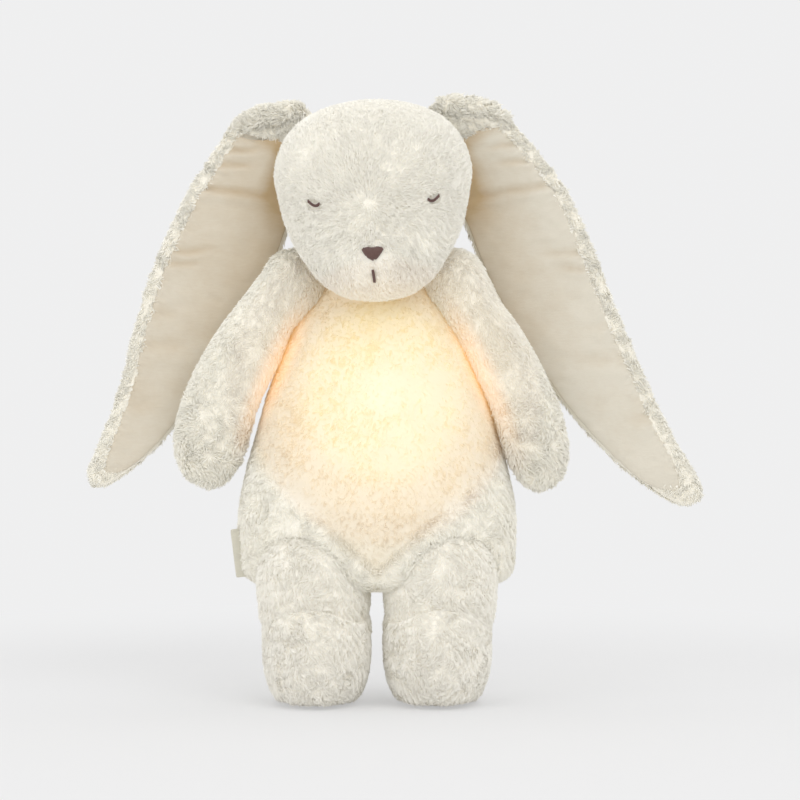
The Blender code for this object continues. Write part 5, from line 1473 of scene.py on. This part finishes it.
@dataclass
class Leg:
    """One stuffed leg with its round hip, and its foot, flat under the sole."""

    side: Side
    torso: Torso
    fold: float = math.radians(50.0)
    sole: float = 0.0011
    room: float = 0.0055
    foot_out: float = 0.0320
    foot_height: float = 0.058
    foot_half_width: float = 0.0287
    foot_half_depth: float = 0.0378
    leg_table: tuple[Point, ...] = (
        (0.0380, 0.0000, 0.0000), (0.0394, 0.0180, 0.0178), (0.0440, 0.0274, 0.0272),
        (0.0520, 0.0292, 0.0290), (0.0620, 0.0298, 0.0300), (0.0700, 0.0300, 0.0310),
        (0.0780, 0.0290, 0.0300), (0.0860, 0.0257, 0.0266),
        (0.0930, 0.0201, 0.0208), (0.0985, 0.0119, 0.0123), (0.1010, 0.0000, 0.0000),
    )
    foot_table: tuple[Row, ...] = (
        (0.000, 0.00, -0.37, 0.00), (0.006, 0.30, -0.37, 0.37), (0.020, 0.56, -0.36, 0.67),
        (0.060, 0.77, -0.37, 0.84), (0.181, 0.90, -0.38, 0.94), (0.353, 0.98, -0.40, 1.00),
        (0.560, 1.00, -0.42, 1.00),
        (0.767, 0.98, -0.43, 0.93), (0.888, 0.84, -0.47, 0.79), (0.966, 0.53, -0.50, 0.53),
        (1.000, 0.00, -0.50, 0.00),
    )

    def __post_init__(self) -> None:
        """Lay out the forms of the leg and the foot."""
        sign = self.side.value
        x, y, _ = self.torso.hip_at(self.side)
        self.leg = Form([(x, z, w, y, d) for z, w, d in self.leg_table])
        x = MIDDLE + sign * self.foot_out
        self.foot = Form([(x, h * self.foot_height, w * self.foot_half_width, m * self.foot_half_depth,
                           d * self.foot_half_depth)
                          for h, w, m, d in self.foot_table])

    def blocked(self, points: Array, margin: float) -> Array:
        """Which points the torso is in the way of somewhere on the leg's fold."""
        hip = np.array(self.torso.hip_at(self.side))
        away = points - hip
        met = np.zeros(len(points), bool)
        for angle in self.fold * np.array([0.25, 0.5, 0.75, 0.9, 1.0]):
            c, s = math.cos(angle), math.sin(angle)
            turned = np.stack([away[:, 0], away[:, 1] * c + away[:, 2] * s, away[:, 2] * c - away[:, 1] * s],
                              axis=1)
            met |= self.torso.holds(turned + hip, margin)
        return met

    def cleared(self, points: Array) -> Array:
        """Points drawn towards the foot's middle, by halving steps, until the fold is free."""
        core = np.array([MIDDLE + self.side.value * self.foot_out, -0.016, 0.026])
        low, high = np.zeros(len(points)), np.where(self.blocked(points, self.room), 1.0, 0.0)
        for _ in range(10):
            middle = (low + high) / 2
            met = self.blocked(points + (core - points) * middle[:, None], self.room)
            low, high = np.where(met, middle, low), np.where(met, high, middle)
        return points + (core - points) * high[:, None]

    def share(self, points: Array, normals: Array) -> Array:
        """The foot's pile: none where the torso passes, thin under the sole, and full elsewhere."""
        return np.where(self.blocked(points, self.room), 0.0,
                        0.35 + 0.65 * ease(0.0004, 0.004, points[:, 2]))

    def flat(self, points: Array, least: float = 0.0003) -> Array:
        """Points with none under a height over the floor."""
        out = points.copy()
        out[:, 2] = np.maximum(out[:, 2], least)
        return out

    def build(self) -> None:
        """The leg and the foot, each a padded piece."""
        word = self.side.word
        body = f"leg_{word}_body"
        # A faint even emission over leg and foot: painted fill light.
        painted_fill_light = Glow(size=(0.140, 0.180, 0.170),
                   stops=((0.0, (0.045, 0.042, 0.034)), (0.6, (0.040, 0.037, 0.029)),
                          (1.0, (0.020, 0.018, 0.014))))
        cream = Plush(tip=(0.968, 0.950, 0.895), root=(0.950, 0.915, 0.830), glow=painted_fill_light)
        skin = self.leg.skin(110, 90, lambda p, n: lumps(p, 70) - 0.0006)
        coat = Pile(length=0.0034, width=0.00027, density=2.0e6, lift=0.38, swirl=1.2, swirl_size=0.007,
                    clump=0.42, seed=71)
        fur = coat.grow(self.leg, brushed(0.0, 0.0, -1.0), 0.0006,
                        lambda p, n: ease(0.0385, 0.0400, p[:, 2]))
        name = "leg_plush_" + word
        leg = dress(skin.joined(fur).made(name), cream.material(name), body, "plush", "leg_" + word)
        skin = self.foot.skin(110, 90, lambda p, n: lumps(p, 75) - INSET,
                              lambda p: self.flat(self.cleared(p), self.sole))
        coat = Pile(length=0.0034, width=0.00027, density=2.0e6, lift=0.38, swirl=1.2, swirl_size=0.006,
                    clump=0.42, seed=76)
        fur = coat.grow(self.foot, brushed(0.0, -0.6, -1.0), INSET, self.share)
        fur.points = self.flat(fur.points)
        name = "foot_plush_" + word
        foot = dress(skin.joined(fur).made(name), cream.material(name), body, "plush", "foot_" + word)
        LOG.info("leg %s: %d corners", word, len(leg.data.vertices) + len(foot.data.vertices))


@dataclass
class BackParts:
    """What the back carries: the flap with its tapes, the tail, and the pocket behind the flap."""

    torso: Torso
    thickness: float = 0.0035
    tail_radius: float = 0.015
    tail_height: float = 0.080

    def by_hem(self, points: Array, width: float) -> Array:
        """A bell of a width about the hem's stitches, inside the flap's edge."""
        return bell(self.torso.flap_edge(points[:, 0], points[:, 2]) + 0.0045, width)

    def flap(self) -> None:
        """The flap: a thin pad with a stitched hem and pile on its outer face."""
        torso = self.torso
        middle = torso.flap_top - torso.flap_length / 2
        outline = PadOutline(torso.flap_half_width, torso.flap_length / 2, 0.023, 0.010)
        form = Pad(torso, outline, middle, 0.0010, self.thickness, 0.0002)
        skin = form.skin(180, 70, lambda p, n: 0.0002 * noise(p, 0.005, 85)
                         - 0.0008 * self.by_hem(p, 0.0012) * (n[:, 1] > 0.3))
        coat = Pile(length=0.0030, width=0.00028, density=1.6e6, lift=0.34, swirl=0.5, clump=0.3, seed=81)
        fur = coat.grow(form, torso.comb, 0.0,
                        lambda p, n: (n[:, 1] > 0.2) * (1.0 - 0.85 * self.by_hem(p, 0.0011)))
        made = dress(skin.joined(fur).made("back_flap_plush"), Plush().material("flap_plush"), "flap_body",
                     "plush", "back_flap")
        stitches = self.hem_stitches(middle)
        dress(stitches.made("back_flap_stitches"), Thread(colour=(0.74, 0.70, 0.60)).material("hem_thread"),
              "flap_body", "thread")

    def hem_stitches(self, middle: float) -> Patch:
        """A row of short straight stitches round the flap, inside its edge."""
        torso = self.torso
        outline = PadOutline(torso.flap_half_width - 0.0045, torso.flap_length / 2 - 0.0045, 0.0185, 0.0055)
        count = 70
        starts = np.arange(count) / count
        parts = []
        for start in starts:
            edge = outline.at(start + np.linspace(0.0, 0.62 / count, 5))
            x, z = MIDDLE + edge[:, 0], middle + edge[:, 1]
            lift = 0.0006 * np.sin(np.linspace(0, math.pi, 5))
            path = np.stack([x, torso.back(x, z) - 0.0011 + lift, z], axis=1)
            parts.append(tube_patch(path, np.full(5, 0.00028)))
        return parts[0].joined(*parts[1:])

    def tapes(self) -> None:
        """The loop tape on the flap and the hook tape under it, each a pad with a field of ends."""
        torso = self.torso
        z = torso.flap_top - torso.flap_length + 0.0025 + 0.005
        outline = PadOutline(0.0200, 0.0050, 0.0012, 0.0012)
        loop = Pad(torso, outline, z, 0.0038, 0.0046, 0.0)
        hook = Pad(torso, outline, z, 0.0049, 0.0058, 0.0)
        fuzz = Pile(length=0.0006, width=0.00012, density=9.0e6, lift=0.5, swirl=2.5, swirl_size=0.002,
                    clump=0.0, seed=83)
        teeth = Pile(length=0.0006, width=0.00013, density=7.0e6, lift=1.3, swirl=0.0, clump=0.0, seed=84)
        down = brushed(0.0, 0.0, -1.0)
        loops = fuzz.grow(loop, down, 0.0, lambda p, n: (n[:, 1] < -0.5).astype(float))
        loops = loop.skin(90, 30, still).joined(loops)
        hooks = teeth.grow(hook, down, 0.0, lambda p, n: (n[:, 1] > 0.5).astype(float))
        hooks = hook.skin(90, 30, still).joined(hooks)
        dress(loops.made("loop_tape_pile"), Woven((0.78, 0.77, 0.73), 2200.0, 1.0).material("loop_tape"),
              "flap_body", "tape", "loop_tape")
        dress(hooks.made("hook_tape_hooks"), Woven((0.76, 0.75, 0.72), 2200.0, 0.6).material("hook_tape"),
              "body", "tape", "hook_tape")

    def pocket(self) -> None:
        """The light's fabric pocket: a cup about the unit's axis, with a rolled rim and slack folds."""
        low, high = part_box("light_pocket")
        radius = (high[0] - low[0]) / 2
        front, mouth = low[1], high[1]
        wall = 0.0012
        profile = np.array([
            (0.0, front), (radius * 0.6, front), (radius - 0.002, front + 0.0003), (radius, front + 0.002),
            (radius, (front + mouth) / 2), (radius, mouth - 0.003), (radius + 0.00015, mouth - 0.001),
            (radius - 0.0003, mouth),
            (radius - wall + 0.0001, mouth - 0.0002), (radius - wall, mouth - 0.002),
            (radius - wall, (front + mouth) / 2),
            (radius - wall, front + wall + 0.0005), (radius * 0.6, front + wall), (0.0, front + wall),
        ])
        t = np.linspace(0.0, len(profile) - 1.0, 90)
        r = np.interp(t, np.arange(len(profile)), profile[:, 0])
        y = np.interp(t, np.arange(len(profile)), profile[:, 1])
        angle = np.linspace(0.0, 2 * math.pi, 96, endpoint=False)
        middle_x, middle_z = (low[0] + high[0]) / 2, (low[2] + high[2]) / 2
        ripple = 0.00012 * np.sin(angle * 17)[None, :] * (r > radius * 0.9)[:, None]
        rr = r[:, None] - ripple.clip(0.0, None)
        rings = np.stack([middle_x + rr * np.cos(angle), np.broadcast_to(y[:, None], rr.shape),
                          middle_z + rr * np.sin(angle)], axis=2)
        made = ring_patch(rings[1:-1], rings[0].mean(axis=0), rings[-1].mean(axis=0)).made("pocket_cloth")
        dress(made, Woven((0.80, 0.79, 0.75), 1500.0).material("pocket_cloth"), "body", "pocket_cloth",
              "light_pocket")
        self.binding()

    def binding(self) -> None:
        """A rolled binding round the opening in the back's recess, with small even tucks."""
        torso = self.torso
        angle = np.linspace(0.0, 2 * math.pi + 0.02, 150)
        radius = torso.bore_radius + 0.0009
        x, z = MIDDLE + radius * np.cos(angle), torso.unit_height + radius * np.sin(angle)
        path = np.stack([x, torso.back(x, z) - torso.recess_depth + 0.0002, z], axis=1)
        made = tube_patch(path, 0.00115 + 0.00012 * np.sin(angle * 48), 10).made("opening_binding")
        dress(made, Woven((0.84, 0.80, 0.71), 1500.0).material("binding_cloth"), "body", "pocket_cloth")

    def tail(self) -> None:
        """The round tail, with longer loose pile."""
        _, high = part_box("tail")
        y = high[1] - self.tail_radius
        z = self.tail_height
        steps = np.linspace(0.0, math.pi, 13)
        rows = [(MIDDLE, z - self.tail_radius * math.cos(a), self.tail_radius * math.sin(a), y,
                 self.tail_radius * math.sin(a)) for a in steps]
        form = Form(rows)
        skin = form.skin(64, 48, lambda p, n: lumps(p, 88) - 0.0018)
        coat = Pile(length=0.0045, width=0.00030, density=2.0e6, lift=0.62, swirl=1.4, swirl_size=0.006,
                    clump=0.5, seed=89)
        fur = coat.grow(form, lambda p: p - np.array([MIDDLE, y + 0.012, z + 0.004]), 0.0018,
                        lambda p, n: (p[:, 1] > y - 0.009) * 1.0)
        made = dress(skin.joined(fur).made("tail_plush"), Plush().material("tail_plush"), "body", "plush",
                     "tail")

    def build(self) -> None:
        """All the pieces at the back."""
        self.flap()
        self.tapes()
        self.pocket()
        self.tail()
        LOG.info("back: flap, tapes, pocket and tail")


@dataclass(frozen=True)
class PadOutline:
    """A rounded rectangle read evenly by its length: four straight runs and four quarter circles."""

    half_x: float
    half_z: float
    corner_top: float
    corner_foot: float

    def at(self, u: Array) -> Array:
        """Points at shares u round the outline, anticlockwise from the foot's right corner."""
        corners = (
            (self.half_x - self.corner_foot, self.corner_foot - self.half_z, self.corner_foot, -0.5),
            (self.half_x - self.corner_top, self.half_z - self.corner_top, self.corner_top, 0.0),
            (self.corner_top - self.half_x, self.half_z - self.corner_top, self.corner_top, 0.5),
            (self.corner_foot - self.half_x, self.corner_foot - self.half_z, self.corner_foot, 1.0),
        )
        turns = np.linspace(0.0, 0.5, 14)
        points = np.concatenate([
            np.stack([x + r * np.cos(math.pi * (s + turns)), z + r * np.sin(math.pi * (s + turns))], axis=1)
            for x, z, r, s in corners
        ])
        points = np.vstack([points, points[:1]])
        runs = np.concatenate([[0.0], np.cumsum(np.linalg.norm(np.diff(points, axis=0), axis=1))])
        at = np.mod(u, 1.0) * runs[-1]
        return np.stack([np.interp(at, runs, points[:, 0]), np.interp(at, runs, points[:, 1])], axis=1)


class Pad(Form):
    """A thin pad that follows the torso's back.

    Its rings are a rounded rectangle's outline scaled from the centre to the edge over the outer
    face and back to the centre over the inner face. The depth is the back's surface less a
    distance that goes from outer to inner round a half-circle edge.
    """

    def __init__(self, torso: Torso, outline: PadOutline, centre_z: float, outer: float,
                 inner: float, puff: float) -> None:
        """Set the pad's place on the back.

        Args:
            torso: The torso whose back it follows.
            outline: Its outline.
            centre_z: Height of the middle.
            outer: Depth of the outer face under the back.
            inner: Depth of the inner face under the back.
            puff: How far the outer face swells.
        """
        super().__init__([(0.0, 0.0, 0.0, 0.0, 0.0), (0.0, 1.0, 1.0, 0.0, 1.0), (0.0, 2.0, 0.0, 0.0, 0.0)])
        self.torso, self.outline, self.centre_z = torso, outline, centre_z
        self.outer, self.inner, self.puff = outer, inner, puff

    def point(self, u: Array, v: Array) -> Array:
        """Points at shares u round the outline and v from the outer centre to the inner one."""
        edge = self.outline.at(u)
        angle = (v - 0.5) * math.pi
        reach = np.clip(1.0 - np.abs(2.0 * v - 1.0), 0.0, 1.0)
        reach = 1.0 - (1.0 - reach) ** 1.6
        x = MIDDLE + edge[:, 0] * reach
        z = self.centre_z + edge[:, 1] * reach
        edge_in = ease(0.86, 1.0, reach)
        half = (self.inner - self.outer) / 2
        turn = np.sign(angle) * np.minimum(1.0, np.sqrt(np.clip(1.0 - reach, 0, 1) / 0.06))
        depth = (self.inner + self.outer) / 2 + half * turn
        swell = self.puff * (1.0 - edge_in) * (v < 0.5)
        return np.stack([x, self.torso.back(x, z) - depth + swell, z], axis=1)

    def normal(self, u: Array, v: Array) -> Array:
        """Outwards on the outer face, inwards on the inner one, and along the outline at the rim."""
        v = np.clip(v, 0.01, 0.99)
        step = 1e-3
        round_it = self.point(u + step, v) - self.point(u - step, v)
        along = self.point(u, v + step) - self.point(u, v - step)
        normal = unit(np.cross(round_it, along))
        flip = np.where(v < 0.48, np.sign(normal[:, 1]), np.where(v > 0.52, -np.sign(normal[:, 1]), 1.0))
        return normal * flip[:, None]


@dataclass
class Label:
    """The bare side label: a folded cotton ribbon sewn into the seam, a little waved."""

    lean: float = math.radians(7.0)
    height: float = 0.026
    width: float = 0.014
    thickness: float = 0.0010

    def build(self) -> None:
        """A closed ribbon: its outline scaled over the front, round the fold and over the back."""
        low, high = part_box("side_label")
        outline = PadOutline(self.width / 2, self.height / 2, 0.0008, 0.0008)
        centre = np.array([low[0] + self.width / 2 + 0.0012, (low[1] + high[1]) / 2, (low[2] + high[2]) / 2])
        u, v = np.meshgrid(np.arange(96) / 96, (np.arange(40) + 0.5) / 40)
        edge = outline.at(u.ravel())
        reach = 1.0 - np.abs(2.0 * v.ravel() - 1.0)
        reach = 1.0 - (1.0 - reach) ** 1.5
        thick = self.thickness / 2 * np.sign(v.ravel()
                                             - 0.5) * np.sqrt(np.clip((1.0 - reach) / 0.04, 0.0, 1.0))
        x, z = edge[:, 0] * reach, edge[:, 1] * reach
        wave = 0.0004 * np.sin(z / self.height * 5.0) + 0.0003 * np.sin(x / self.width * 4.0 + 1.0)
        hem = 0.00018 * bell(np.abs(z) - self.height / 2 + 0.0022, 0.0006) * np.sign(thick)
        local = np.stack([x, thick + wave - hem, z], axis=1)
        points = (turn_y(local, -self.lean) + centre).reshape(40, 96, 3)
        made = ring_patch(points, points[0].mean(axis=0), points[-1].mean(axis=0)).made("side_label_cloth")
        dress(made, Woven((0.74, 0.71, 0.60), 2600.0).material("label_cloth"), "body", "label", "side_label")
        LOG.info("label: bare")


@dataclass(frozen=True)
class UnitFinishes:
    """The finishes of the light-and-sound unit's own nodes."""

    def build(self) -> None:
        """Give each node of the unit its material."""
        case = Moulded((0.84, 0.84, 0.82), 0.42).material("case_plastic")
        finishes = {
            "front_diffuser": Moulded((0.94, 0.92, 0.86), 0.35, 900.0).material("diffuser_plastic"),
            "mid_housing": case,
            "back_cover": case,
            "gasket": Moulded((0.24, 0.24, 0.25), 0.75, 1200.0).material("gasket_rubber"),
            "led_board": Board(mask=(0.72, 0.73, 0.70), run=(0.62, 0.64, 0.62)).material("light_board"),
            "main_board": Board().material("main_board"),
            "battery": Metal((0.62, 0.63, 0.65), 0.42, 0.4).material("cell_foil"),
            "speaker": Moulded((0.035, 0.035, 0.037), 0.6, 700.0, 0.0002).material("speaker_cone"),
            "usb_socket": Metal().material("socket_steel"),
        }
        button = Moulded((0.50, 0.52, 0.54), 0.7, 1600.0).material("button_rubber")
        steel = Metal((0.60, 0.60, 0.61), 0.28).material("screw_steel")
        finishes |= {name: button for name in ("button_light", "button_sound", "button_volume")}
        finishes |= {f"screw_{i}": steel for i in range(1, 5)}
        for name, finish in finishes.items():
            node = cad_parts[name]
            for slot in node.material_slots:
                slot.material = finish
        LOG.info("unit: %d nodes finished", len(finishes))


@dataclass(frozen=True)
class Studio:
    """A pale floor in pale surroundings, soft lamps, and the camera at the photograph's angle."""

    elevation: float = math.radians(3.0)
    distance: float = 2.1
    frame_width: float = 0.4246
    look: Point = (0.0026, -0.010, 0.1610)
    backdrop: Point = (0.865, 0.865, 0.868)
    ambient: float = 0.62

    def floor(self) -> None:
        """A level round floor: rings of points about the toy, wider apart outwards, and one in the middle."""
        reach = 0.25 * np.array([1.0, 2.0, 4.0, 10.0, 30.0, 60.0])
        angle = np.linspace(0.0, 2.0 * math.pi, 72, endpoint=False)
        circle = np.stack([np.cos(angle), np.sin(angle)], axis=1)
        rings = reach[:, None, None] * circle[None, :, :]
        points = np.vstack([rings.reshape(-1, 2), np.zeros((1, 2))])
        points = np.column_stack([points, np.full(len(points), -0.0002)])
        i, j = np.meshgrid(np.arange(len(reach) - 1), np.arange(72), indexing="ij")
        k = (j + 1) % 72
        quads = np.stack([i * 72 + j, (i + 1) * 72 + j, (i + 1) * 72 + k, i * 72 + k], axis=-1).reshape(-1,
                                                                                                        4)
        j = np.arange(72)
        tris = np.stack([np.full(72, len(points) - 1), j, (j + 1) % 72], axis=1)
        made = plain_patch(points, quads, tris).made("floor")
        made.data.materials.append(self.paper())

    def paper(self) -> bpy.types.Material:
        """Matt paper with half of an even pale grey near the toy, and nothing but that grey farther away."""
        nodes = Nodes("floor_paper")
        where = nodes.place()
        seen = nodes.add("LightPath").outputs["Is Camera Ray"]
        shown = nodes.mix(nodes.grain(6.0, where=where), rgba((0.800, 0.800, 0.797)),
                          rgba((0.815, 0.815, 0.812)))
        nodes.finish(nodes.mix(seen, rgba((0.88, 0.88, 0.87)), shown), 0.95)
        far = nodes.smooth(nodes.length(where), 0.22, 0.50, 0.5, 1.0)
        even = nodes.add("Emission", {"Color": rgba(self.backdrop), "Strength": 1.0}).outputs[0]
        mixed = nodes.add("MixShader", {0: nodes.math("MULTIPLY", far, seen), 1: nodes.shader.outputs[0],
                                        2: even}).outputs[0]
        nodes.tree.links.new(mixed, nodes.tree.nodes["Material Output"].inputs["Surface"])
        return nodes.made

    def lamp(self, name: str, place: Point, size: float, power: float,
             colour: Point = (1.0, 1.0, 1.0)) -> None:
        """A square soft lamp that faces the toy."""
        data = bpy.data.lights.new(name, "AREA")
        data.size = size
        data.energy = power
        data.color = colour
        made = bpy.data.objects.new(name, data)
        bpy.context.scene.collection.objects.link(made)
        made.location = place
        way = np.array([0.0, 0.0, 0.15]) - np.array(place)
        made.rotation_euler = (math.atan2(math.hypot(way[0], way[1]), -way[2]), 0.0,
                               math.atan2(way[0], -way[1]) + math.pi)

    def surroundings(self) -> None:
        """An even white world as light, which the camera sees as the floor's pale grey."""
        world = bpy.data.worlds.new("studio")
        bpy.context.scene.world = world
        world.use_nodes = True
        nodes, links = world.node_tree.nodes, world.node_tree.links
        light = nodes["Background"]
        light.inputs["Color"].default_value = rgba((0.99, 0.99, 1.0))
        light.inputs["Strength"].default_value = self.ambient
        seen = nodes.new("ShaderNodeBackground")
        seen.inputs["Color"].default_value = rgba(self.backdrop)
        mixed = nodes.new("ShaderNodeMixShader")
        links.new(nodes.new("ShaderNodeLightPath").outputs["Is Camera Ray"], mixed.inputs[0])
        links.new(light.outputs[0], mixed.inputs[1])
        links.new(seen.outputs[0], mixed.inputs[2])
        links.new(mixed.outputs[0], nodes["World Output"].inputs["Surface"])

    def build(self) -> None:
        """The floor, the lamps, the world and the camera."""
        self.floor()
        self.lamp("key", (0.9, -1.9, 1.8), 1.8, 18.5)
        self.lamp("fill", (-1.7, -1.8, 0.9), 1.8, 11.9)
        self.lamp("top", (0.0, 0.2, 2.2), 1.8, 13.5)
        self.surroundings()
        data = bpy.data.cameras.new("camera")
        data.sensor_width = 36.0
        data.lens = 36.0 * self.distance / self.frame_width
        data.clip_end = 50.0
        camera = bpy.data.objects.new("camera", data)
        bpy.context.scene.collection.objects.link(camera)
        c, s = math.cos(self.elevation), math.sin(self.elevation)
        camera.location = (self.look[0], self.look[1] - self.distance * c, self.look[2] + self.distance * s)
        camera.rotation_euler = (math.pi / 2 - self.elevation, 0.0, 0.0)
        bpy.context.scene.camera = camera
        bpy.context.scene.view_settings.view_transform = "Standard"


def main() -> None:
    """Build the toy piece by piece, then the studio."""
    logging.basicConfig(level=logging.INFO, format="%(name)s: %(message)s", stream=sys.stdout)
    torso, head = Torso(), Head()
    torso.build()
    head.build()
    for side in Side:
        Ear(side, head).build()
        Arm(side).build()
        Leg(side, torso).build()
    BackParts(torso).build()
    Label().build()
    UnitFinishes().build()
    Studio().build()


if __name__ == "__main__":
    main()
